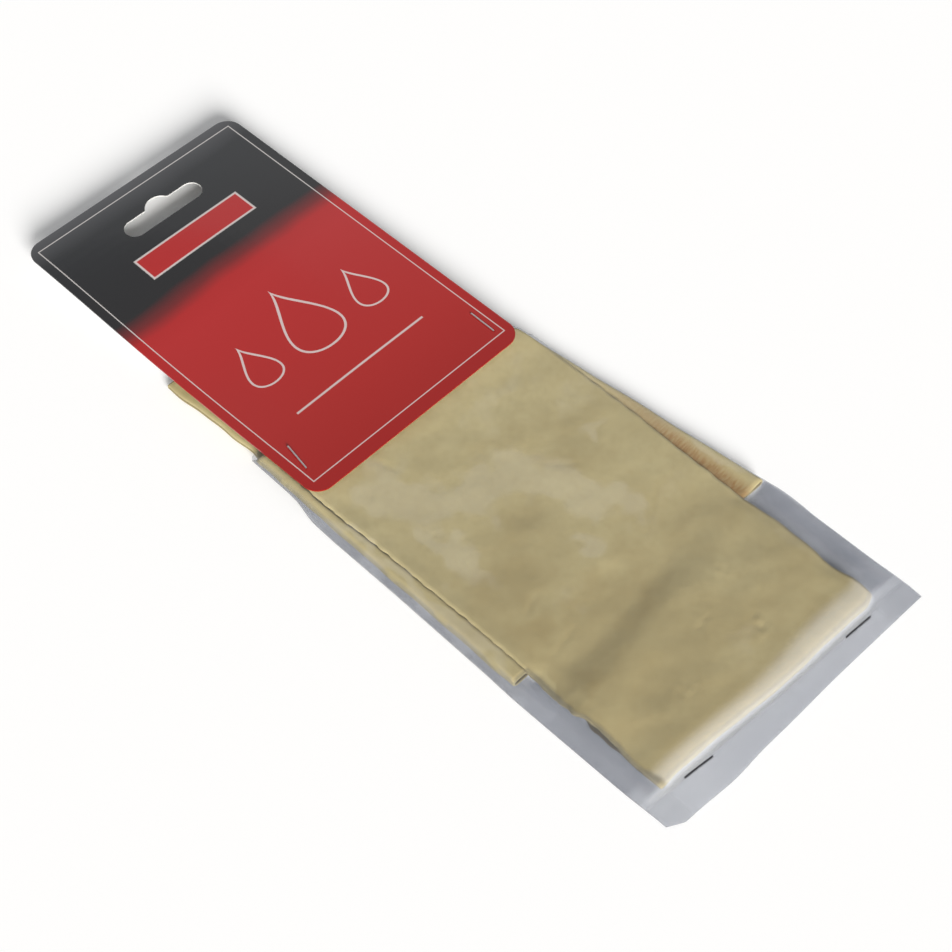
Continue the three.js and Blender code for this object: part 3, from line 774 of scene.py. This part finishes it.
def set_down(piece, middle, turn):
    """Turns a piece made about the origin, sets it in its place and leaves the place in its mesh."""
    bpy.ops.object.select_all(action="DESELECT")
    piece.select_set(True)
    bpy.context.view_layer.objects.active = piece
    piece.rotation_euler = (0, 0, turn)
    piece.location = [c * MM for c in middle]
    bpy.ops.object.transform_apply(location=True, rotation=True, scale=True)


# Hang card
def hang_card():
    """The card with its rounded corners and slot, sagging a little beside the pack."""
    card = block("hang_card", (CARD_WIDTH, CARD_LENGTH, CARD_THICK), (0, 0, CARD_THICK / 2))
    start(card)
    choose(card, "edges", upright)
    bpy.ops.mesh.bevel(offset=CARD_CORNER * MM, segments=12, affect="EDGES")
    done()
    arm = block("slot_arm", (SLOT_WIDTH, SLOT_HEIGHT, 4), (0, SLOT_LOW + SLOT_HEIGHT / 2, 0))
    start(arm)
    choose(arm, "edges", upright)
    bpy.ops.mesh.bevel(offset=SLOT_HEIGHT / 2 * MM * 0.998, segments=12, affect="EDGES")
    done()
    cut_from(card, arm)
    bpy.ops.object.select_all(action="DESELECT")
    bump_middle = (0, (SLOT_LOW + SLOT_TOTAL / 2) * MM, 0)
    bpy.ops.mesh.primitive_cylinder_add(
        vertices=48, radius=SLOT_TOTAL / 2 * MM, depth=4 * MM, location=bump_middle,
    )
    cut_from(card, bpy.context.object)
    start(card)
    shoulder = (SLOT_LOW + SLOT_HEIGHT) * MM

    def beside_bump(edge):
        at = edge.verts[0].co
        return upright(edge) and abs(at.y - shoulder) < 2e-5 and 2e-3 < abs(at.x) < 8e-3

    choose(card, "edges", beside_bump)
    bpy.ops.mesh.bevel(offset=SLOT_FILLET * MM, segments=5, affect="EDGES")
    for y in np.linspace(-CARD_LENGTH / 2, CARD_LENGTH / 2, 37)[1:-1]:
        bpy.ops.mesh.select_all(action="SELECT")
        bpy.ops.mesh.bisect(plane_co=(0, y * MM, 0), plane_no=(0, 1, 0))
    for x in np.linspace(-CARD_WIDTH / 2, CARD_WIDTH / 2, 25)[1:-1]:
        bpy.ops.mesh.select_all(action="SELECT")
        bpy.ops.mesh.bisect(plane_co=(x * MM, 0, 0), plane_no=(1, 0, 0))
    choose(card, "verts", lambda v: v.co.x < -0.0449 and abs(v.co.y + 0.004) < 0.006)
    bpy.ops.transform.translate(
        value=(0, 0, -CARD_SAG * MM), use_proportional_edit=True, proportional_edit_falloff="SMOOTH",
        proportional_size=62 * MM,
    )
    done()
    set_down(card, (*CARD_MIDDLE, CARD_BASE), CARD_TURN)
    return card


# Staples
def staple(name, height, wire, clinch):
    """A clinched staple about the origin: crown on top, legs down, ends turned in under the pack."""
    half = CROWN / 2
    crown_end = (half - 1.2 * wire) * MM
    leg_side = (half - 1.5 * wire) * MM
    outside = (half - 0.1 * wire) * MM
    piece = block(name, (CROWN - 2 * wire, wire, wire), (0, 0, height - wire / 2))
    start(piece)
    for end in (-1, 1):
        corner = end * (half - wire / 2) * MM

        def on_crown_end(face):
            return face.normal.x * end > 0.9 and abs(face.calc_center_median().x) > crown_end

        def under_corner(face):
            return face.normal.z < -0.9 and abs(face.calc_center_median().x - corner) < 1e-5

        def inside_foot(face):
            at = face.calc_center_median()
            return face.normal.x * end < -0.9 and at.z < wire * MM and at.x * end > leg_side

        choose(piece, "faces", on_crown_end)
        pull(end * wire, 0, 0)
        choose(piece, "faces", under_corner)
        pull(0, 0, -(height - 2 * wire))
        pull(0, 0, -wire)
        choose(piece, "faces", inside_foot)
        pull(-end * (clinch - wire), 0, 0)

    def outer_bend(edge):
        a, b = (v.co for v in edge.verts)
        return abs(a.y - b.y) > wire * 0.9 * MM and abs(a.x) > outside

    choose(piece, "edges", outer_bend)
    bpy.ops.mesh.bevel(offset=wire * 0.8 * MM, segments=4, affect="EDGES")
    done()
    soft = piece.modifiers.new("drawn_wire", "BEVEL")
    soft.width = 0.13 * MM
    soft.segments = 3
    soft.limit_method = "ANGLE"
    soft.angle_limit = math.radians(40)
    bpy.ops.object.modifier_apply(modifier=soft.name)
    bpy.ops.object.shade_smooth_by_angle(angle=math.radians(50))
    return piece


def staple_places():
    """Each staple's node, the middle of its crown, its direction and height, from the solids."""
    places = {}
    for node, turn in STAPLE_DEGREES.items():
        low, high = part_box(node)
        middle = ((low[0] + high[0]) / 2 / MM, (low[1] + high[1]) / 2 / MM)
        places[node] = (middle, math.radians(turn), high[2] / MM)
    return places


# Finishes
def put(tree, kind, sockets=None, **settings):
    """A node with its settings. Each socket, by name or number, takes a value or a node's output."""
    node = tree.nodes.new("ShaderNode" + kind)
    for name, value in settings.items():
        setattr(node, name, value)
    for name, value in (sockets or {}).items():
        if isinstance(value, bpy.types.NodeSocket):
            tree.links.new(value, node.inputs[name])
        else:
            node.inputs[name].default_value = value
    return node


def finish_named(name):
    """A new material with an empty node tree, and its output node."""
    finish = bpy.data.materials.new(name)
    finish.use_nodes = True
    finish.node_tree.nodes.clear()
    return finish, finish.node_tree, put(finish.node_tree, "OutputMaterial")


def shades(tree, amount, stops):
    """A colour ramp over amount through (place, colour) stops."""
    ramp = put(tree, "ValToRGB", {"Fac": amount})
    line = ramp.color_ramp
    line.elements[0].position, line.elements[0].color = stops[0][0], (*stops[0][1], 1)
    line.elements[1].position, line.elements[1].color = stops[-1][0], (*stops[-1][1], 1)
    for position, colour in stops[1:-1]:
        line.elements.new(position).color = (*colour, 1)
    return ramp.outputs["Color"]


def blend(tree, amount, one, two, how="MIX"):
    """Colour one mixed towards colour two by amount."""
    mix = put(tree, "Mix", data_type="RGBA", blend_type=how)
    for socket, value in ((mix.inputs[0], amount), (mix.inputs[6], one), (mix.inputs[7], two)):
        if isinstance(value, bpy.types.NodeSocket):
            tree.links.new(value, socket)
        elif isinstance(value, tuple):
            socket.default_value = (*value, 1)
        else:
            socket.default_value = value
    return mix.outputs[2]


def greys(tree, amount, stops):
    """A grey ramp over amount through (place, level) stops."""
    return shades(tree, amount, [(place, (level, level, level)) for place, level in stops])


def maths(tree, how, one, two=0.0, three=0.0):
    """A sum worked out by a node."""
    return put(tree, "Math", {0: one, 1: two, 2: three}, operation=how).outputs[0]


def noise(tree, where, scale, detail=3.0, rough=0.55):
    """Smooth noise, about scale patches to the metre."""
    return put(
        tree, "TexNoise", {"Vector": where, "Scale": scale, "Detail": detail, "Roughness": rough},
    ).outputs["Fac"]


def marked(tree, name):
    """What the points of the piece are marked with under that name."""
    return put(tree, "Attribute", attribute_name=name).outputs["Fac"]


def chamois_finish():
    """Napped suede: cloudy beige, flecked, with darker clouds and a rough brown flap, both partly
    painted shade, and painted shade inside the folds.
    """
    finish, tree, out = finish_named("napped_chamois")
    where = put(tree, "TexCoord").outputs["Object"]
    clouds = noise(tree, where, 42, 3)
    patches = noise(tree, where, 160, 4)
    flecks = noise(tree, where, 480, 3)
    nap = noise(tree, where, 1800, 3, 0.6)
    colour = shades(tree, clouds, [
        (0.3, (0.41, 0.342, 0.174)), (0.5, (0.44, 0.371, 0.193)), (0.7, (0.475, 0.405, 0.216)),
    ])
    pale = greys(tree, patches, [(0.4, 0), (0.7, 0.22)])
    colour = blend(tree, pale, colour, (0.5, 0.43, 0.24))
    between_hairs = greys(tree, nap, [(0.3, 0.14), (0.6, 0)])
    colour = blend(tree, between_hairs, colour, (0.3, 0.22, 0.085))
    flecked = greys(tree, flecks, [(0.32, 0.2), (0.55, 0)])
    colour = blend(tree, flecked, colour, (0.32, 0.262, 0.12))
    # Darker clouds, partly painted shade over the flank below the end fold.
    dark = maths(tree, "MULTIPLY", marked(tree, "dark_tone_and_shade"), maths(tree, "ADD", patches, 0.5))
    colour = blend(tree, maths(tree, "MULTIPLY", dark, 0.85), colour, (0.31, 0.24, 0.103))
    # Rough brown nap on the right flap, deepened next to the panel as painted shade.
    across = put(tree, "Mapping", {"Vector": where, "Scale": (260, 1300, 260)}).outputs[0]
    streak = greys(tree, noise(tree, across, 1, 3), [(0.35, 0.45), (0.65, 0.85)])
    rough = maths(tree, "MULTIPLY", marked(tree, "rough_nap_and_panel_shade"), streak)
    colour = blend(tree, rough, colour, (0.23, 0.092, 0.01))
    edge = maths(tree, "MULTIPLY", marked(tree, "cut_edge"), 0.2)
    colour = blend(tree, edge, colour, (0.6, 0.52, 0.3))
    # Painted shade, near black, inside the folds and along the left flap's groove.
    inner = maths(tree, "MULTIPLY", marked(tree, "painted_shade_inside"), 0.85)
    colour = blend(tree, inner, colour, (0.075, 0.055, 0.03))
    height = maths(tree, "MULTIPLY_ADD", nap, 0.3, maths(tree, "MULTIPLY", patches, 0.5))
    height = maths(tree, "MULTIPLY_ADD", flecks, 0.45, height)
    bump = put(tree, "Bump", {"Strength": 0.28, "Distance": 0.0003, "Height": height})
    skin = put(tree, "BsdfPrincipled", {
        "Base Color": colour, "Normal": bump.outputs[0], "Specular IOR Level": 0.2,
        "Roughness": maths(tree, "MULTIPLY_ADD", nap, 0.2, 0.75),
        "Sheen Weight": 0.2, "Sheen Roughness": 0.4, "Sheen Tint": (0.95, 0.9, 0.75, 1),
    })
    tree.links.new(skin.outputs[0], out.inputs["Surface"])
    return finish


def film_finish():
    """Clear film with a little gloss, greyer where loose and with painted shade, paler over air, milky
    at its stapled end with a painted highlight.
    """
    finish, tree, out = finish_named("milky_clear_film")
    where = put(tree, "TexCoord").outputs["Object"]
    loose = marked(tree, "film_grey_and_shade")
    milky = marked(tree, "milk_and_end_highlight")
    air = marked(tree, "air_under_film")
    haze = noise(tree, where, 60, 3)
    ragged = noise(tree, where, 130, 4)
    wrinkle = noise(tree, where, 90, 2)
    bump = put(tree, "Bump", {"Strength": 0.12, "Distance": 0.0006, "Height": wrinkle}).outputs[0]
    # Greyer where loose, partly painted shade.
    clear = put(tree, "BsdfTransparent", {
        "Color": blend(tree, loose, (0.985, 0.988, 0.992), (0.645, 0.656, 0.685)),
    })
    milk = put(tree, "BsdfPrincipled", {
        "Base Color": blend(tree, loose, (0.86, 0.88, 0.9), (0.86, 0.88, 0.92)),
        "Roughness": 0.35, "Normal": bump,
    })
    gloss = put(tree, "BsdfGlossy", {"Color": (1, 1, 1, 1), "Roughness": 0.15, "Normal": bump})
    pocket = put(tree, "MapRange", {
        "Value": maths(tree, "MULTIPLY_ADD", ragged, 0.6, air), "From Min": 0.45, "From Max": 1.05,
        "To Min": 0.01, "To Max": 0.05,
    }, interpolation_type="SMOOTHSTEP").outputs[0]
    share = maths(tree, "MULTIPLY_ADD", maths(tree, "MULTIPLY", haze, 0.07), loose, pocket)
    # Painted highlight: more milk over the end fold.
    share = maths(tree, "MULTIPLY_ADD", milky, 0.165, share)
    body = put(tree, "MixShader", {0: share, 1: clear.outputs[0], 2: milk.outputs[0]})
    facing = put(tree, "LayerWeight", {"Blend": 0.5, "Normal": bump}).outputs["Facing"]
    shine = maths(tree, "MULTIPLY_ADD", maths(tree, "POWER", facing, 4.0), 0.5, 0.022)
    film = put(tree, "MixShader", {0: shine, 1: body.outputs[0], 2: gloss.outputs[0]})
    tree.links.new(film.outputs[0], out.inputs["Surface"])
    return finish


# Print on the card, in mm about its middle: half sizes, heights and inks
BORDER_HALF = (41.65, 66.6)
BORDER_UP = 0.7
BORDER_LINE = 0.24
PLATE_HALF = (22, 5)
PLATE_UP = 36.5
LOW_LINE_HALF = 27
LOW_LINE_DOWN = 43
PRINT_LINE = 0.5
SMALL_DROP_ASIDE = 23
SLOT_ZONE = (18, 55, 8)
RED_INK = (0.42, 0.014, 0.014)
WHITE_INK = (0.72, 0.68, 0.66)
DROP_FULLNESS = 0.3248


def drop_print(tree, x, y, tip, height, half_width):
    """1 inside a falling drop with its tip at that height on the card, all in mm."""
    down = maths(tree, "MULTIPLY_ADD", y, -1000 / height, tip / height)
    narrowing = maths(tree, "SUBTRACT", 1.0, down)
    bulge = maths(tree, "MULTIPLY", maths(tree, "POWER", down, 3.0), narrowing)
    wide = (half_width * MM / DROP_FULLNESS) ** 2
    half_squared = maths(tree, "MULTIPLY", bulge, wide)
    return maths(tree, "GREATER_THAN", half_squared, maths(tree, "MULTIPLY", x, x))


def outlined_drop(tree, x, y, tip, height, half_width, stroke):
    """1 on the outline of such a drop."""
    whole = drop_print(tree, x, y, tip, height, half_width)
    inside = drop_print(tree, x, y, tip - 2.6 * stroke, height - 3.6 * stroke, half_width - stroke)
    return maths(tree, "SUBTRACT", whole, inside)


def beyond_frame(tree, x, y, half_wide, half_high):
    """How far a point lies outside a rectangle about the middle, in metres, below 0 inside it."""
    beyond_x = maths(tree, "SUBTRACT", maths(tree, "ABSOLUTE", x), half_wide * MM)
    beyond_y = maths(tree, "SUBTRACT", maths(tree, "ABSOLUTE", y), half_high * MM)
    return maths(tree, "MAXIMUM", beyond_x, beyond_y)


def frame_line(tree, beyond, thick):
    """1 on the line of such a rectangle, falling to 0 just beside it."""
    return put(tree, "MapRange", {
        "Value": maths(tree, "ABSOLUTE", beyond), "From Min": thick / 2 * MM, "From Max": thick * MM,
        "To Min": 1.0, "To Max": 0.0,
    }).outputs[0]


def print_finish():
    """Glossy print, charcoal over red, with a border line and a plain design, on pale board."""
    finish, tree, out = finish_named("glossy_card_print")
    where = put(tree, "TexCoord").outputs["Object"]
    on_card = put(tree, "Mapping", {
        "Vector": where, "Location": (CARD_MIDDLE[0] * MM, CARD_MIDDLE[1] * MM, CARD_BASE * MM),
        "Rotation": (0, 0, CARD_TURN),
    }, vector_type="TEXTURE").outputs[0]
    axes = put(tree, "SeparateXYZ", {0: on_card})
    x, y = axes.outputs[0], axes.outputs[1]
    cloud = maths(tree, "MULTIPLY_ADD", noise(tree, on_card, 25, 2), 0.04, -0.02)
    up_card = maths(tree, "ADD", maths(tree, "MULTIPLY_ADD", y, 1000 / CARD_LENGTH, 0.5), cloud)
    # Red up the card to charcoal; the lighter last stop along the top edge is a painted sheen of
    # gloss.
    ink = shades(tree, up_card, [
        (0.0, (0.34, 0.007, 0.004)), (0.2, (0.4, 0.012, 0.009)), (0.55, (0.44, 0.016, 0.016)),
        (0.6, RED_INK), (0.635, (0.16, 0.012, 0.013)), (0.675, (0.013, 0.012, 0.013)),
        (0.92, (0.012, 0.013, 0.015)), (1.0, (0.07, 0.071, 0.077)),
    ])
    past_border = beyond_frame(tree, x, maths(tree, "SUBTRACT", y, BORDER_UP * MM), *BORDER_HALF)
    border = frame_line(tree, past_border, BORDER_LINE)
    rim = put(tree, "MapRange", {
        "Value": past_border, "From Min": 0.0, "From Max": 0.4 * MM, "To Min": 0.0, "To Max": 0.7,
    }).outputs[0]
    rim = maths(tree, "MULTIPLY", rim, maths(tree, "LESS_THAN", up_card, 0.62))
    ink = blend(tree, rim, ink, blend(tree, 1.0, ink, (0.95, 0.45, 0.4), "MULTIPLY"))
    past_plate = beyond_frame(tree, x, maths(tree, "SUBTRACT", y, PLATE_UP * MM), *PLATE_HALF)
    ink = blend(tree, maths(tree, "LESS_THAN", past_plate, 0.0), ink, RED_INK)
    big_drop = outlined_drop(tree, x, y, 1.0, 32, 10, 0.8)
    aside = maths(tree, "SUBTRACT", maths(tree, "ABSOLUTE", x), SMALL_DROP_ASIDE * MM)
    small_drops = outlined_drop(tree, aside, y, -9.0, 20, 6.2, 0.7)
    past_low_line = beyond_frame(tree, x, maths(tree, "ADD", y, LOW_LINE_DOWN * MM), LOW_LINE_HALF, 0)
    low_line = frame_line(tree, past_low_line, PRINT_LINE)
    plate = frame_line(tree, past_plate, PRINT_LINE)
    drops = maths(tree, "MAXIMUM", big_drop, small_drops)
    white = maths(tree, "MAXIMUM", drops, maths(tree, "MAXIMUM", low_line, plate))
    white = maths(tree, "MULTIPLY", maths(tree, "MAXIMUM", white, border), 0.75)
    ink = blend(tree, white, ink, WHITE_INK)
    tilt = put(tree, "SeparateXYZ", {0: put(tree, "NewGeometry").outputs["Normal"]}).outputs[2]
    back = maths(tree, "LESS_THAN", tilt, -0.5)
    wall = maths(tree, "LESS_THAN", maths(tree, "ABSOLUTE", tilt), 0.5)
    half, up, high = (size * MM for size in SLOT_ZONE)
    in_slot = maths(tree, "LESS_THAN", maths(tree, "ABSOLUTE", x), half)
    in_slot = maths(tree, "MULTIPLY", in_slot, maths(tree, "COMPARE", y, up, high))
    bare = maths(tree, "MAXIMUM", back, maths(tree, "MULTIPLY", wall, in_slot))
    fibre = noise(tree, on_card, 900, 4)
    board = shades(tree, fibre, [(0.3, (0.62, 0.61, 0.58)), (0.7, (0.78, 0.77, 0.74))])
    ripple = noise(tree, on_card, 30, 2)
    bump = put(tree, "Bump", {"Strength": 0.06, "Distance": 0.0006, "Height": ripple})
    card = put(tree, "BsdfPrincipled", {
        "Base Color": blend(tree, bare, ink, board), "Normal": bump.outputs[0],
        "Roughness": maths(tree, "MULTIPLY_ADD", fibre, 0.06, 0.12), "Specular IOR Level": 0.64,
    })
    tree.links.new(card.outputs[0], out.inputs["Surface"])
    return finish


def wire_finish(name, tone):
    """Drawn steel wire of that tone, slightly streaked."""
    finish, tree, out = finish_named(name)
    where = put(tree, "TexCoord").outputs["Object"]
    drawn = put(tree, "Mapping", {"Vector": where, "Scale": (300, 300, 300)}).outputs[0]
    streak = noise(tree, drawn, 8, 4)
    colour = shades(tree, streak, [(0.3, tuple(0.75 * c for c in tone)), (0.7, tone)])
    bump = put(tree, "Bump", {"Strength": 0.1, "Distance": 0.00005, "Height": streak})
    wire = put(tree, "BsdfPrincipled", {
        "Base Color": colour, "Metallic": 1.0, "Normal": bump.outputs[0],
        "Roughness": maths(tree, "MULTIPLY_ADD", streak, 0.2, 0.22),
    })
    tree.links.new(wire.outputs[0], out.inputs["Surface"])
    return finish


def floor_finish():
    """A matt white table that shows a little brighter than it is lit, but not under the card, where
    that leaves a painted shade.
    """
    finish, tree, out = finish_named("white_table")
    path = put(tree, "LightPath").outputs
    seen = maths(tree, "ADD", path["Is Camera Ray"], path["Is Glossy Ray"])
    seen = maths(tree, "ADD", seen, path["Is Transmission Ray"])
    axes = put(tree, "SeparateXYZ", {0: put(tree, "TexCoord").outputs["Object"]}).outputs
    x, y = (maths(tree, "SUBTRACT", axes[i], CARD_MIDDLE[i] * MM) for i in (0, 1))
    # Painted shade: no lift under the card.
    lift_cut_by_card_shade = put(tree, "MapRange", {
        "Value": beyond_frame(tree, x, y, CARD_WIDTH / 2, CARD_LENGTH / 2),
        "From Min": -12 * MM, "From Max": -6 * MM, "To Min": 0.0, "To Max": 0.12,
    }).outputs[0]
    matt = put(tree, "BsdfDiffuse", {"Color": (0.91, 0.91, 0.91, 1)})
    strength = maths(tree, "MULTIPLY", seen, lift_cut_by_card_shade)
    lift = put(tree, "Emission", {"Color": (1, 1, 1, 1), "Strength": strength})
    both = put(tree, "AddShader", {0: matt.outputs[0], 1: lift.outputs[0]})
    tree.links.new(both.outputs[0], out.inputs["Surface"])
    return finish


# The pieces
def dress(piece, finish, slot, *nodes):
    """Gives a piece its finish in a material slot, and puts it in the place of those solids. The slot
    argument is not used.
    """
    piece.data.materials.clear()
    piece.data.materials.append(finish)
    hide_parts(*nodes)
    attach(piece, "root")


skin, skin_points, skin_stations = chamois_skin()
dress(skin, chamois_finish(), "chamois", "chamois_leather")

film = clear_film(skin_points, skin_stations)
film.visible_shadow = False
dress(film, film_finish(), "film", "clear_sleeve")

card = hang_card()
dress(card, print_finish(), "card", "header_card")

# One steel in two painted tones: a pinkish painted reflection of the red card on the card's staples,
# and painted dark shade on the sleeve's staples.
pink_sheen_wire = wire_finish("staple_wire_pink_reflection", (0.7, 0.64, 0.63))
dark_shaded_wire = wire_finish("staple_wire_painted_dark", (0.11, 0.11, 0.12))
for node, (middle, turn, height) in staple_places().items():
    name = node.replace("staple", "wire")
    if node.startswith("card"):
        wire = staple(name, height - CARD_CROWN_SINK, CARD_WIRE, CARD_CLINCH)
        set_down(wire, (*middle, 0), turn)
        dress(wire, pink_sheen_wire, "staple_wire", node)
    else:
        wire = staple(name, SLEEVE_CROWN_TOP, SLEEVE_WIRE, SLEEVE_CLINCH)
        wire.visible_shadow = False
        set_down(wire, (middle[0] + SLEEVE_CROWN_SHIFT, middle[1] + SLEEVE_CROWN_SHIFT, 0), turn)
        dress(wire, dark_shaded_wire, "staple_wire", node)

# Floor, light and camera
AMBIENT = 0.26
CEILING = 0.45
PHOTO_PIXELS = 952
FOCAL_PIXELS = 1909
SENSOR = 36
CAMERA_AWAY = 0.5873

bpy.ops.object.select_all(action="DESELECT")
bpy.ops.mesh.primitive_plane_add(size=8, location=(0, 0, 0))
table = bpy.context.object
table.name = "table_top"
table.data.materials.append(floor_finish())


def white_room():
    """White to the camera, dim as light, and to gloss white walls under a darker ceiling."""
    world = bpy.data.worlds.new("white_room")
    world.use_nodes = True
    tree = world.node_tree
    tree.nodes.clear()
    path = put(tree, "LightPath").outputs
    seen = maths(tree, "ADD", path["Is Camera Ray"], path["Is Transmission Ray"])
    way_up = put(tree, "SeparateXYZ", {0: put(tree, "TexCoord").outputs["Generated"]}).outputs[2]
    walls = put(tree, "MapRange", {
        "Value": way_up, "From Min": 0.688, "From Max": 0.737, "To Min": 1.0, "To Max": CEILING,
    }).outputs[0]
    level = maths(tree, "MULTIPLY_ADD", seen, 1 - AMBIENT, AMBIENT)
    in_gloss = maths(tree, "SUBTRACT", walls, AMBIENT)
    level = maths(tree, "MULTIPLY_ADD", path["Is Glossy Ray"], in_gloss, level)
    sky = put(tree, "Background", {"Color": (0.97, 0.985, 1, 1), "Strength": level})
    tree.links.new(sky.outputs[0], put(tree, "OutputWorld").inputs["Surface"])
    return world


def towards(azimuth, elevation):
    """A direction by its angles in radians. Azimuth 0 is -y, and it grows towards +x."""
    flat = math.cos(elevation)
    return Vector((math.sin(azimuth) * flat, -math.cos(azimuth) * flat, math.sin(elevation)))


def window_light(azimuth, elevation, softness, strength, colour):
    """Even soft daylight from that side."""
    back = towards(math.radians(azimuth), math.radians(elevation))
    lamp = bpy.data.lights.new("window_light", "SUN")
    lamp.energy = strength
    lamp.angle = math.radians(softness)
    lamp.color = colour
    sun = bpy.data.objects.new("window_light", lamp)
    sun.visible_glossy = False
    sun.matrix_world = Matrix.Translation(back) @ back.to_track_quat("Z", "Y").to_matrix().to_4x4()
    bpy.context.scene.collection.objects.link(sun)


def photo_camera():
    """The camera that the photograph was taken with, as fitted to the card and the sleeve."""
    azimuth, elevation, roll = (math.radians(d) for d in (-45.28, 54.09, 0.40))
    target = Vector((-7.18, -21.43, 0)) * MM
    back = towards(azimuth, elevation)
    right = (-back).cross(Vector((0, 0, 1))).normalized()
    up = right.cross(-back)
    across = right * math.cos(roll) + up * math.sin(roll)
    upward = up * math.cos(roll) - right * math.sin(roll)
    data = bpy.data.cameras.new("photo_camera")
    data.sensor_fit = "HORIZONTAL"
    data.sensor_width = SENSOR
    data.lens = FOCAL_PIXELS / PHOTO_PIXELS * SENSOR
    data.clip_start = 0.01
    camera = bpy.data.objects.new("photo_camera", data)
    turned = Matrix((across, upward, back)).transposed().to_4x4()
    camera.matrix_world = Matrix.Translation(target + back * CAMERA_AWAY) @ turned
    bpy.context.scene.collection.objects.link(camera)
    return camera


bpy.context.scene.world = white_room()
window_light(-25, 24, 24, 5.5, (1, 0.985, 0.965))
bpy.context.scene.camera = photo_camera()
bpy.context.scene.view_settings.view_transform = "Standard"
